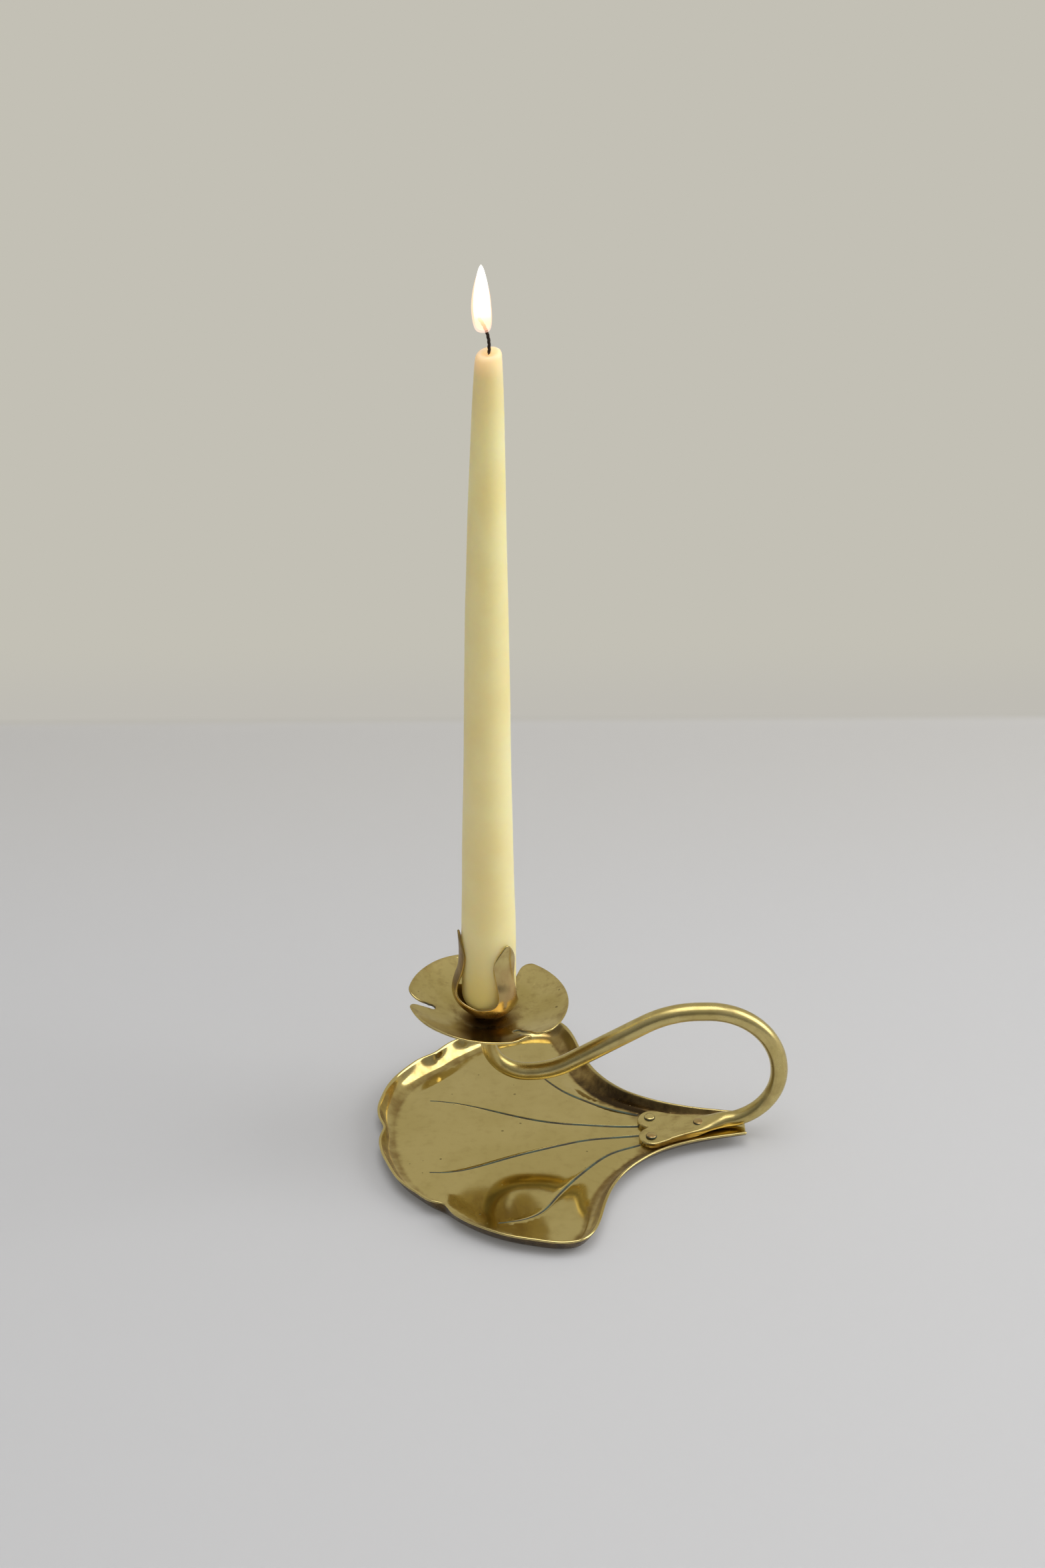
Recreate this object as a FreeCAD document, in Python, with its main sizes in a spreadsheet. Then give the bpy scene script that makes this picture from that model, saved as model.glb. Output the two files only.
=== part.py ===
"""Leaf candlestick: a parametric FreeCAD model.

Millimetres, +Z up.  The origin is on the table, on the candle's axis.
+X points along the leaf's stem, towards the finger loop.
"""
import FreeCAD, Part
import math
import os

import Sketcher
from FreeCAD import Placement, Rotation, Vector

X, Y, Z = Vector(1, 0, 0), Vector(0, 1, 0), Vector(0, 0, 1)
ORIGIN = Vector(0, 0, 0)

# ---------------------------------------------------------------- driving dimensions
DIMENSIONS = {
    # leaf tray
    "tray_lip_height": 8.0,
    "tray_sheet": 1.2,
    "leaf_flare": 8.0,          # width of the rim's quarter round along the leaf
    "stem_flare": 4.6,          # and at the end of the stem
    "stem_end": 113.0,
    "stem_half_width": 8.3,
    "ramp_start": 34.0,         # where the floor begins to climb, up to the stem's end
    "ramp_angle": 3.6,
    "leaf_lean": 2.8,           # how far the front ear lies nearer the stem than the back one
    "crimp_depth": 3.0,
    "crimp_reach": 5.2,
    "back_crimp_share": 0.35,   # the back half of the rim is dented less than the front
    "vein_width": 1.1,
    "vein_depth": 0.4,
    # forged handle
    "rod_diameter": 8.0,
    "rod_upright_foot": 53.7,   # where the first bend starts, under the candle
    "rod_upright_diameter": 6.8,
    "rod_end_diameter": 6.4,
    "rod_heel_diameter": 7.0,   # where the rod runs into the foot
    "lobe_radius": 6.3,
    "lobe_spacing": 12.0,
    "lobe_run": 38.4,           # from the foot of the ramp, up its slope
    "foot_thickness": 2.4,
    "stem_rivet_seat": 3.3,
    # rivets
    "rivet_shank": 3.2,
    "rivet_head": 4.9,
    "rivet_head_height": 1.1,
    "rivet_tail_height": 0.8,
    "lobe_rivet_run": 37.6,
    "lobe_rivet_spacing": 13.6,
    "stem_rivet_run": 58.8,
    # drip pan
    "pan_radius": 34.5,
    "pan_seat_height": 66.5,
    "pan_rim_height": 75.8,
    "pan_sheet": 1.0,
    "pan_seat_radius": 8.8,
    "slot_width": 2.7,
    "slot_eye_radius": 1.8,
    # candle cup
    "cup_floor": 3.8,
    "cup_sheet": 0.9,
    "cup_collar_radius": 5.6,   # the short collar that the bowl stands on
    "cup_collar_height": 1.3,
    "cup_floor_radius": 7.0,
    "cup_bowl_radius": 14.5,
    "cup_bowl_height": 79.5,
    "cup_grip_radius": 11.6,
    "cup_grip_height": 95.0,
    "cup_tip_radius": 12.2,
    "cup_tip_height": 110.2,    # the wall, before the sepals are cut out of it
    "sepal_neck_width": 9.1,
    "sepal_width": 11.2,
    "valley_height": 76.3,
    # screw under the candle
    "screw_diameter": 4.0,
    "screw_head": 7.8,
    "screw_length": 15.0,
    "screw_clearance": 0.2,
    # candle and wick
    "candle_diameter": 23.0,
    "candle_top_diameter": 10.4,
    "candle_length": 299.2,
    "candle_foot_round": 7.5,
    "candle_swell": 0.9,        # how far its side bows out from a straight taper
    "candle_gap": 0.1,
    "candle_pool": 1.3,
    "wick_diameter": 1.5,
    "wick_depth": 8.0,
    "wick_rise": 5.0,
    "wick_reach": 4.2,
    "wick_tip_rise": 12.6,
}

# half of the leaf's lip, seen from above, from the tip round the ear to the end of the stem
HALF_LIP = [
    (-49.0, 0.0), (-48.6, 12.0), (-46.2, 24.0), (-40.2, 38.0), (-31.5, 49.3), (-22.0, 58.0),
    (-11.0, 67.5), (1.0, 75.0), (14.0, 79.8), (27.0, 82.2), (36.0, 80.2), (42.3, 71.5),
    (45.8, 59.0), (50.2, 45.0), (57.3, 33.0), (67.0, 23.6), (80.0, 16.4), (96.0, 11.5),
]
SIDE_CRIMP_AT = (-22.0, 58.0)

# the veins seen from above, from the foot outwards: two on the front half, two on the back half
VEINS = [
    [(66.0, -2.5), (45.2, -2.9), (29.0, -6.4), (12.7, -12.5), (-3.5, -20.0), (-18.4, -24.4), (-25.0, -24.6)],
    [(66.0, -9.5), (54.0, -14.0), (43.3, -23.1), (35.5, -32.3), (28.2, -43.4), (21.6, -53.5), (12.5, -58.6),
     (4.3, -60.2)],
    [(66.0, 4.3), (45.3, 7.5), (29.5, 10.9), (13.3, 15.6), (-3.2, 22.2), (-18.2, 26.6), (-25.0, 27.3)],
    [(66.0, 13.9), (57.8, 17.2), (46.5, 23.9), (35.6, 32.5), (28.0, 41.0), (21.5, 50.5)],
]

# how the rod is bent, from the candle down to the foot: a straight run as (length,),
# a bend as (radius, angle), where a positive angle turns it away from the table
ROD_BENDS = [
    (17.2, 90.0), (0.9,), (34.0, 31.0), (36.8,), (45.3, -31.0), (3.9,), (32.2, -90.0), (25.5, -78.5),
]

# the foot's oval sections where it narrows into the rod: place along the stem, half width, height
FOOT_SECTIONS = {
    "heel": (73.0, 11.4, 2.4), "waist": (79.0, 9.6, 2.6), "calf": (86.0, 7.3, 2.9),
    "shin": (92.0, 6.1, 3.5), "knee": (97.5, 5.0, 4.8),
}
FOOT_ANKLE = (103.2, 9.35, 4.4, 3.3)    # place along the stem, height, half width, half height

# the pan's slots: azimuth of the mouth, then the middle and the eye as (distance from the axis,
# sideways), and the corner radii of the petals before and after it
PAN_SLOTS = [
    (63.6, (27.0, 0.3), (22.5, 0.0), 4.5, 6.0),
    (187.5, (27.8, -0.1), (24.4, -0.9), 6.0, 3.6),
    (301.4, (25.5, 2.7), (19.6, 1.4), 1.6, 5.5),
]


# the sepals: azimuth and the height of the tip
SEPALS = [(65.0, 108.6), (184.5, 110.0), (304.5, 108.0)]


class Dim:
    """A driving dimension: its number, and the formula that reads it from the sheet."""

    def __init__(self, value, formula):
        self.value = value
        self.formula = formula

    def _join(self, other, sign, value):
        text = other.formula if isinstance(other, Dim) else repr(other)
        return Dim(value, f"({self.formula} {sign} {text})")

    def __add__(self, other):
        return self._join(other, "+", float(self) + float(other))

    def __sub__(self, other):
        return self._join(other, "-", float(self) - float(other))

    def __mul__(self, other):
        return self._join(other, "*", float(self) * float(other))

    def __truediv__(self, other):
        return self._join(other, "/", float(self) / float(other))

    def __float__(self):
        return float(self.value)


class Sizes:
    """The driving dimensions as attributes, each one a Dim."""

    def __init__(self, sheet):
        for row, (alias, value) in enumerate(DIMENSIONS.items(), start=1):
            sheet.set(f"A{row}", alias)
            sheet.set(f"B{row}", str(value))
            sheet.setAlias(f"B{row}", alias)
            setattr(self, alias, Dim(value, f"{sheet.Name}.{alias}"))


doc = FreeCAD.newDocument("LeafCandlestick")
sheet = doc.addObject("Spreadsheet::Sheet", "Sizes")
size = Sizes(sheet)
doc.recompute()


def bind(target, path, dim):
    """Tie a property or a sketch constraint to its dimension."""
    if isinstance(dim, Dim):
        target.setExpression(path, dim.formula)
    else:
        setattr(target, path, dim)


# ---------------------------------------------------------------- sketch helpers
def place_point(sketch, geometry, position, x, y):
    """Hold one point of the sketch at (x, y)."""
    for axis, value in (("DistanceX", x), ("DistanceY", y)):
        index = sketch.addConstraint(
            Sketcher.Constraint(axis, -1, 1, geometry, position, float(value)))
        if isinstance(value, Dim):
            sketch.setExpression(f"Constraints[{index}]", value.formula)


def draw_loop(sketch, corners):
    """Draw a closed loop of lines and arcs.

    A corner is (x, y) where a line follows, or (x, y, (mx, my)) where an arc
    through (mx, my) follows.
    """
    count = len(corners)
    points = [Vector(float(c[0]), float(c[1]), 0) for c in corners]
    first = sketch.GeometryCount
    for i, corner in enumerate(corners):
        start, end = points[i], points[(i + 1) % count]
        if len(corner) == 3:
            middle = Vector(float(corner[2][0]), float(corner[2][1]), 0)
            sketch.addGeometry(Part.Arc(start, middle, end), False)
        else:
            sketch.addGeometry(Part.LineSegment(start, end), False)
    ends = [run_ends(sketch, first + i, points[i]) for i in range(count)]
    for i in range(count):
        following = (i + 1) % count
        sketch.addConstraint(Sketcher.Constraint(
            "Coincident", first + i, ends[i][1], first + following, ends[following][0]))
    for i, corner in enumerate(corners):
        place_point(sketch, first + i, ends[i][0], corner[0], corner[1])
        if len(corner) == 3:
            middle = Vector(float(corner[2][0]), float(corner[2][1]), 0)
            mark = sketch.addGeometry(Part.Point(middle), True)
            sketch.addConstraint(Sketcher.Constraint("PointOnObject", mark, 1, first + i))
            place_point(sketch, mark, 1, corner[2][0], corner[2][1])


def run_ends(sketch, geometry, start):
    """The start and end vertex numbers of a run drawn from `start`, which an arc may swap."""
    swapped = sketch.getPoint(geometry, 1).distanceToPoint(start) > 1e-6
    return (2, 1) if swapped else (1, 2)


def body_plane(body, role):
    return next(f for f in body.Origin.OriginFeatures if f.Role == role)


def body_sketch(body, name, role, offset=None):
    sketch = body.newObject("Sketcher::SketchObject", name)
    sketch.AttachmentSupport = [(body_plane(body, role), "")]
    sketch.MapMode = "FlatFace"
    if offset is not None:
        sketch.AttachmentOffset = offset
    return sketch


def revolved_body(label, corners):
    """A turned piece: its half section in the XZ plane, spun about the Z axis."""
    body = doc.addObject("PartDesign::Body", label)
    section = body_sketch(body, label + "_section", "XZ_Plane")
    draw_loop(section, corners)
    doc.recompute()
    spin = body.newObject("PartDesign::Revolution", label + "_spin")
    spin.Profile = section
    spin.ReferenceAxis = (section, ["V_Axis"])
    spin.Angle = 360
    doc.recompute()
    return body


# ---------------------------------------------------------------- leaf tray
def ramp_height(x):
    """How far the tray's floor has climbed above the table at x."""
    return max(x - float(size.ramp_start), 0.0) * math.tan(math.radians(float(size.ramp_angle)))


def lip_frames(count=46):
    """Points round the lip with their inward directions and dents, from stem corner to stem corner."""
    stem_corner = (float(size.stem_end), float(size.stem_half_width))
    half = [Vector(x, y, 0) for x, y in HALF_LIP + [stem_corner]]
    curve = Part.BSplineCurve()
    curve.interpolate(Points=half, InitialTangent=Vector(0, 12, 0), FinalTangent=Vector(16, -3, 0))
    spots = curve.discretize(Number=count)
    crimp = min(range(count), key=lambda i: spots[i].distanceToPoint(Vector(*SIDE_CRIMP_AT, 0)))
    step = curve.length() / (count - 1)
    front, back = [], []
    for i, spot in enumerate(spots):
        tangent = curve.tangent(curve.parameter(spot))[0]
        inward = Vector(tangent.y, -tangent.x, 0)
        if i == 0:
            inward = X
        elif i == count - 1:
            inward = -Y
        reach = float(size.crimp_reach)
        tip_dent = math.exp(-(i * step / (1.4 * reach)) ** 2)
        side_dent = math.exp(-((i - crimp) * step / reach) ** 2)
        depth = float(size.crimp_depth)
        back.append((spot, inward, depth * (tip_dent + side_dent * float(size.back_crimp_share))))
        flipped, flipped_inward = Vector(spot.x, -spot.y, 0), Vector(inward.x, -inward.y, 0)
        front.append((flipped, flipped_inward, depth * (tip_dent + side_dent)))
    return front[:0:-1] + back


def lean(spot):
    """The leaf is a little lopsided: its front half is pushed towards the stem, its back half away."""
    along = min(max((spot.x + 25) / 60, 0.35), 1.0) * min((float(size.stem_end) - spot.x) / 20, 1.0)
    share = along * max(-1.0, min(spot.y / 25, 1.0))
    return spot - X * (float(size.leaf_lean) * share)


def flare_width(x):
    """Width of the rim's flare: full along the leaf, narrower along the stem."""
    share = min(max((x - 50) / (float(size.stem_end) - 50), 0.0), 1.0)
    return float(size.leaf_flare) + share * (float(size.stem_flare) - float(size.leaf_flare))


def trough(inset):
    """The solid inside the tray's skin, `inset` in from its outer face."""
    quarter = 0.5523      # where a cubic's handles make a quarter round
    splay = 0.3           # how far the wall leans out below the lip
    lip = float(size.tray_lip_height)
    poles = []
    for spot, inward, dent in lip_frames():
        width = flare_width(spot.x)
        bend = width - inset
        rim = lean(spot + inward * (inset + dent))
        edge = lean(spot + inward * width)
        toe = lean(spot + inward * (width - quarter * bend + 0.35 * dent))
        wall = lean(spot + inward * (inset + 0.8 * dent + splay * bend))
        floor = ramp_height(edge.x) + inset
        poles.append([
            Vector(edge.x, edge.y, floor),
            Vector(toe.x, toe.y, ramp_height(toe.x) + inset),
            Vector(wall.x, wall.y, lip - quarter * (lip - floor)),
            Vector(rim.x, rim.y, lip),
        ])
    count = len(poles)
    knots = [float(k) for k in range(count - 2)]
    flare = Part.BSplineSurface()
    flare.buildFromPolesMultsKnots(
        poles, [4] + [1] * (count - 4) + [4], [4, 4], knots, [0.0, 1.0], False, False, 3, 3)
    last = knots[-1]
    level = float(next(i for i, row in enumerate(poles) if row[0].x <= float(size.ramp_start)))
    skins = []
    for start, end in ((0.0, level), (level, last - level), (last - level, last)):
        part = flare.copy()
        part.segment(start, end, 0.0, 1.0)
        skins.append(part)
    feet = [skin.vIso(0.0).toShape() for skin in skins]
    rims = [skin.vIso(1.0).toShape() for skin in skins]
    near, far = skins[0].uIso(0.0), skins[2].uIso(last)
    floor_line = Part.makeLine(near.StartPoint, far.StartPoint)
    lip_line = Part.makeLine(near.EndPoint, far.EndPoint)
    level_line = Part.makeLine(feet[1].Curve.StartPoint, feet[1].Curve.EndPoint)
    faces = [skin.toShape() for skin in skins]
    faces.append(Part.Face(Part.Wire([feet[1], level_line])))
    far_foot = feet[2].Curve.copy()
    far_foot.reverse()
    faces.append(Part.makeRuledSurface(feet[0], far_foot.toShape()))
    faces.append(Part.Face(Part.Wire(Part.__sortEdges__(rims + [lip_line]))))
    faces.append(Part.Face(Part.Wire(Part.__sortEdges__(
        [near.toShape(), floor_line, far.toShape(), lip_line]))))
    shell = Part.makeCompound(faces)
    shell.sewShape()
    solid = Part.Solid(shell.Shells[0])
    if solid.Volume < 0:
        solid.reverse()
    return solid


def vein_blade(points):
    """A vein seen from above, as a tall blade: even along the leaf and fine at its outer end."""
    line = Part.BSplineCurve()
    line.interpolate([Vector(x, y, 0) for x, y in points])
    count = 16
    sides = ([], [])
    for i in range(count):
        share = i / (count - 1)
        along = line.FirstParameter + (line.LastParameter - line.FirstParameter) * share
        tangent = line.tangent(along)[0]
        half = 0.5 * float(size.vein_width) * (1 - 0.7 * share ** 3)
        for side, sign in zip(sides, (1, -1)):
            side.append(line.value(along) + Vector(-tangent.y, tangent.x, 0) * (half * sign))
    edges = []
    for side in sides:
        curve = Part.BSplineCurve()
        curve.interpolate(side)
        edges.append(curve.toShape())
    for end in (0, -1):
        edges.append(Part.makeLine(sides[0][end], sides[1][end]))
    outline = Part.Wire(Part.__sortEdges__(edges))
    return Part.Face(outline).extrude(Z * 20)


def shape_object(label, shape):
    holder = doc.addObject("Part::Feature", label)
    holder.Shape = shape
    return holder


def ramp_frame(run, height=0.0, side=0.0):
    """A placement on the ramp: `run` up its slope from its foot, `height` above its face."""
    frame = Placement(
        Vector(float(size.ramp_start), 0, float(size.tray_sheet)),
        Rotation(Y, -float(size.ramp_angle)))
    return frame.multiply(Placement(Vector(float(run), float(side), float(height)), Rotation()))


def cylinder(label, radius, height, placement):
    solid = doc.addObject("Part::Cylinder", label)
    bind(solid, "Radius", radius)
    bind(solid, "Height", height)
    solid.Placement = placement
    return solid


# each rivet: how far up the ramp, how far to the side, and the thickness of foot under its head
RIVETS = {
    "rivet_front": (size.lobe_rivet_run, size.lobe_rivet_spacing / -2, size.foot_thickness),
    "rivet_back": (size.lobe_rivet_run, size.lobe_rivet_spacing / 2, size.foot_thickness),
    "rivet_stem": (size.stem_rivet_run, 0.0, size.stem_rivet_seat),
}


def rivet_holes(owner):
    """Three drilled holes, square to the ramp."""
    holes = doc.addObject("Part::MultiFuse", owner + "_holes")
    holes.Shapes = [
        cylinder(f"{owner}_{name}_hole", size.rivet_shank / 2, 20, ramp_frame(run, -10, side))
        for name, (run, side, _) in RIVETS.items()
    ]
    return holes


def make_leaf_tray():
    outside = shape_object("tray_outside", trough(0.0))
    inside = shape_object("tray_inside", trough(float(size.tray_sheet)))
    blank = doc.addObject("Part::Cut", "tray_blank")
    blank.Base, blank.Tool = outside, inside
    blades = [vein_blade(points) for points in VEINS]
    lowered = inside.Shape.translated(Z * -float(size.vein_depth))
    veins = shape_object("tray_veins", Part.makeCompound([lowered.common(b) for b in blades]))
    cutters = doc.addObject("Part::Compound", "tray_cutters")
    cutters.Links = [veins, rivet_holes("tray")]
    tray = doc.addObject("Part::Cut", "leaf_tray")
    tray.Base, tray.Tool = blank, cutters
    return tray


# ---------------------------------------------------------------- forged handle
def oval(label, half_width, half_height, placement):
    """An oval section, wider than it is high, across the rod."""
    ring = doc.addObject("Part::Ellipse", label)
    ring.MajorRadius = max(half_width, half_height)
    ring.MinorRadius = min(half_width, half_height)
    ring.Placement = placement
    return ring


def across(x, z, angle=0.0):
    """A placement in the XZ plane whose own XY plane stands across a line rising at `angle`."""
    turn = Rotation(Y, 90 - angle).multiply(Rotation(Z, 90))
    return Placement(Vector(x, 0, z), turn)


def bent_line():
    """The rod's centre line as tangent runs and arcs, and the points and directions between them."""
    spot = Vector(0, 0, float(size.rod_upright_foot))
    heading = -90.0
    edges = []
    joints = [(spot, heading)]
    for step in ROD_BENDS:
        ahead = Vector(math.cos(math.radians(heading)), 0, math.sin(math.radians(heading)))
        if len(step) == 1:
            end = spot + ahead * step[0]
            edges.append(Part.makeLine(spot, end))
        else:
            radius, angle = step
            side = math.copysign(1.0, angle)
            centre = spot + Vector(-ahead.z, 0, ahead.x) * (side * radius)
            arm = spot - centre
            middle = centre + Rotation(Y, -angle / 2).multVec(arm)
            end = centre + Rotation(Y, -angle).multVec(arm)
            edges.append(Part.Arc(spot, middle, end).toShape())
            heading += angle
        spot = end
        joints.append((spot, heading))
    return edges, joints


def rod_length(label, edges, joints, diameters):
    """A length of the rod, swept along some of its edges from one diameter to the other."""
    rings = []
    for place, (spot, heading), diameter in zip(("start", "end"), joints, diameters):
        ring = doc.addObject("Part::Circle", f"{label}_{place}")
        bind(ring, "Radius", diameter / 2)
        ring.Placement = across(spot.x, spot.z, heading)
        rings.append(ring)
    length = doc.addObject("Part::Sweep", label)
    length.Sections = rings
    length.Spine = (shape_object(label + "_line", Part.Wire(edges)),
                    [f"Edge{i + 1}" for i in range(len(edges))])
    length.Solid = True
    length.Frenet = False
    return length


def make_handle_rod():
    edges, joints = bent_line()
    ankle, heading = joints[-1]
    rise = heading + 180.0
    lengths = [
        rod_length("rod_bend", edges[:1], (joints[0], joints[1]),
                   (size.rod_upright_diameter, size.rod_diameter)),
        rod_length("rod_run", edges[1:-1], (joints[1],), (size.rod_diameter,)),
        rod_length("rod_turn", edges[-1:], (joints[-2], joints[-1]),
                   (size.rod_diameter, size.rod_heel_diameter)),
    ]
    heel = float(size.rod_heel_diameter) / 2
    root = oval("rod_root", heel, heel, across(ankle.x, ankle.z, rise))
    stub = doc.addObject("Part::Cone", "rod_upright")
    bind(stub, "Radius1", size.rod_upright_diameter / 2)
    bind(stub, "Radius2", size.rod_end_diameter / 2)
    bind(stub, "Height", size.pan_seat_height - size.rod_upright_foot)
    stub.Placement = Placement(Vector(0, 0, float(size.rod_upright_foot)), Rotation())
    neck_sections = []
    for name, (x, half_width, height) in FOOT_SECTIONS.items():
        middle = ramp_height(x) + float(size.tray_sheet) + height / 2
        neck_sections.append(oval("foot_" + name, half_width, height / 2, across(x, middle)))
    ankle_x, ankle_z, ankle_half_width, ankle_half_height = FOOT_ANKLE
    neck_sections.append(
        oval("foot_ankle", ankle_half_width, ankle_half_height, across(ankle_x, ankle_z, rise)))
    neck_sections.append(root)
    neck = doc.addObject("Part::Loft", "foot_neck")
    neck.Sections = neck_sections
    neck.Solid = True
    lobes = [
        cylinder(f"foot_lobe_{side}", size.lobe_radius, size.foot_thickness,
                 ramp_frame(size.lobe_run, 0, sign * float(size.lobe_spacing) / 2))
        for side, sign in (("front", -1), ("back", 1))
    ]
    forging = doc.addObject("Part::MultiFuse", "handle_forging")
    forging.Shapes = lengths + [stub, neck] + lobes
    below = doc.addObject("Part::Box", "under_the_foot")
    below.Length, below.Width, below.Height = 72, 40, 10
    below.Placement = ramp_frame(0, -10, -20)
    seat = cylinder("stem_rivet_seat", size.rivet_head / 2 + 0.3, 10,
                    ramp_frame(size.stem_rivet_run, size.stem_rivet_seat))
    tip = size.pan_seat_height + size.pan_sheet + size.cup_floor - size.screw_length - 0.5
    tapped = cylinder("screw_hole", size.screw_diameter / 2, 20,
                      Placement(Vector(0, 0, float(tip)), Rotation()))
    cutters = doc.addObject("Part::MultiFuse", "handle_cutters")
    cutters.Shapes = [below, seat, tapped, rivet_holes("foot")]
    handle = doc.addObject("Part::Cut", "handle_rod")
    handle.Base, handle.Tool = forging, cutters
    return handle


# ---------------------------------------------------------------- rivets
def make_rivet(name):
    run, side, grip = RIVETS[name]
    shank, head = size.rivet_shank / 2, size.rivet_head / 2
    under = float(size.tray_sheet) * -math.cos(math.radians(float(size.ramp_angle)))
    crown, tail = grip + size.rivet_head_height, size.rivet_tail_height * -1 + under
    flat = head * 0.16
    rivet = revolved_body(name, [
        (0.0, tail),
        (flat, tail, (shank * 0.9, tail + 0.22)),
        (head * 0.9, under),
        (shank, under),
        (shank, grip),
        (head, grip, (head * 0.72, crown - 0.32)),
        (flat, crown),
        (0.0, crown),
    ])
    rivet.Placement = ramp_frame(run, 0, side)
    return rivet


# ---------------------------------------------------------------- drip pan
def petal_corner(radius, side):
    """Where a petal's corner leaves the slot, the middle of its rounding, and where it joins the rim."""
    rim = float(size.pan_radius)
    centre_y = float(size.slot_width) / 2 + radius
    centre_x = math.sqrt((rim - radius) ** 2 - centre_y ** 2)
    reach = rim / (rim - radius)
    bulge = (math.atan2(centre_y, centre_x) - math.pi / 2) / 2
    middle = (centre_x + radius * math.cos(bulge), centre_y + radius * math.sin(bulge))
    return ((centre_x, size.slot_width / 2 * side), (middle[0], middle[1] * side),
            (centre_x * reach, centre_y * reach * side))


def slot_outline(middle, eye, corner_before, corner_after):
    """A keyhole slot that opens on the rim along +X: its eye, its bent banks and the petals' corners."""
    half = float(size.slot_width) / 2
    neck = eye[0] + math.sqrt(float(size.slot_eye_radius) ** 2 - half ** 2)
    beyond = float(size.pan_radius) + 6.0
    leave_before, round_before, rim_before = petal_corner(corner_before, -1)
    leave_after, round_after, rim_after = petal_corner(corner_after, 1)
    return [
        (neck, eye[1] - half, (eye[0] - float(size.slot_eye_radius), eye[1])),
        (neck, eye[1] + half, (middle[0], middle[1] + half)),
        leave_after + (round_after,),
        rim_after,
        (beyond, rim_after[1] + 2),
        (beyond, rim_before[1] - 2),
        rim_before + (round_before,),
        leave_before + ((middle[0], middle[1] - half),),
    ]


def make_drip_pan():
    seat, rim, sheet_t = size.pan_seat_height, size.pan_rim_height, size.pan_sheet
    hole = (size.screw_diameter + size.screw_clearance) / 2
    pan = revolved_body("drip_pan", [
        (hole, seat),
        (size.pan_seat_radius, seat, (size.pan_radius * 0.63, seat + 3.2)),
        (size.pan_radius, rim - sheet_t),
        (size.pan_radius - 0.2, rim, (size.pan_radius * 0.63, seat + 4.2)),
        (size.pan_seat_radius, seat + sheet_t),
        (hole, seat + sheet_t),
    ])
    for number, slot in enumerate(PAN_SLOTS, start=1):
        outline = body_sketch(pan, f"pan_slot_{number}", "XY_Plane", Placement(ORIGIN, Rotation(Z, slot[0])))
        draw_loop(outline, slot_outline(*slot[1:]))
        doc.recompute()
        cut = pan.newObject("PartDesign::Pocket", f"pan_slot_cut_{number}")
        cut.Profile = outline
        cut.Type = 1
        cut.Reversed = True
        doc.recompute()
    return pan


# ---------------------------------------------------------------- candle cup
def mirrored_outline(half, tip):
    """A sepal's whole outline from its right half, listed from the foot up to the tip."""
    def across_middle(point):
        return point[0] * -1, point[1]

    other = [across_middle(half[-1])]
    for start, end in zip(half[-2::-1], half[:0:-1]):
        arc = (across_middle(start[2]),) if len(start) == 3 else ()
        other[-1] = other[-1] + arc
        other.append(across_middle(start))
    return half + [(0.0, tip, across_middle(half[-1][2]))] + other


def make_candle_cup():
    seat = size.pan_seat_height + size.pan_sheet
    floor = seat + size.cup_floor
    hole = (size.screw_diameter + size.screw_clearance) / 2
    sink = size.screw_head / 2
    sheet_t = size.cup_sheet
    bowl, bowl_z = size.cup_bowl_radius, size.cup_bowl_height
    grip, grip_z = size.cup_grip_radius, size.cup_grip_height
    lip, lip_z = size.cup_tip_radius, size.cup_tip_height
    shoulder = (bowl - 1.5, bowl_z + 8.0)
    collar = seat + size.cup_collar_height
    wall = revolved_body("cup_wall", [
        (hole, seat),
        (size.cup_collar_radius, seat),
        (size.cup_collar_radius, collar, (bowl - 2.5, collar + 3.7)),
        (bowl + sheet_t, bowl_z, (bowl + sheet_t - 0.3, bowl_z + 4.2)),
        (shoulder[0] + sheet_t, shoulder[1] + 0.2, (grip + sheet_t + 0.4, grip_z - 3.8)),
        (grip + sheet_t, grip_z, (grip + sheet_t + 0.1, grip_z + 6.5)),
        (lip + sheet_t * 0.9, lip_z - 0.2),
        (lip, lip_z, (grip + 0.1, grip_z + 6.7)),
        (grip, grip_z, (grip + 0.4, grip_z - 4.0)),
        (shoulder[0], shoulder[1], (bowl - 0.3, bowl_z + 4.0)),
        (bowl, bowl_z, (bowl - 3.2, floor + 1.95)),
        (size.cup_floor_radius, floor),
        (sink, floor),
        (hole, floor - (sink - hole)),
    ])
    neck, widest = size.sepal_neck_width / 2, size.sepal_width / 2
    valley = size.valley_height
    base = bowl.value + 1.5
    sepals = []
    for number, (azimuth, tip) in enumerate(SEPALS, start=1):
        half = [
            (base, seat - 2.0),
            (base, valley, (neck + 2.4, valley + 2.4)),
            (neck, valley + 8.5, (neck + 0.15, valley + 14.2)),
            (widest, tip - 11.8, (widest - 0.25, tip - 8.8)),
            (widest - 1.0, tip - 6.3, (widest - 2.9, tip - 2.9)),
        ]
        label = f"sepal_{number}"
        sketch = doc.addObject("Sketcher::SketchObject", label + "_outline")
        draw_loop(sketch, mirrored_outline(half, tip))
        sketch.Placement = Placement(
            ORIGIN, Rotation(Z, azimuth).multiply(Rotation(Vector(1, 1, 1), 120)))
        doc.recompute()
        blade = doc.addObject("Part::Extrusion", label)
        blade.Base = sketch
        blade.DirMode = "Normal"
        blade.LengthFwd = 24
        blade.Solid = True
        sepals.append(blade)
    keep = doc.addObject("Part::MultiFuse", "sepals")
    keep.Shapes = sepals
    cup = doc.addObject("Part::Common", "candle_cup")
    cup.Base, cup.Tool = wall, keep
    return cup


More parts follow.
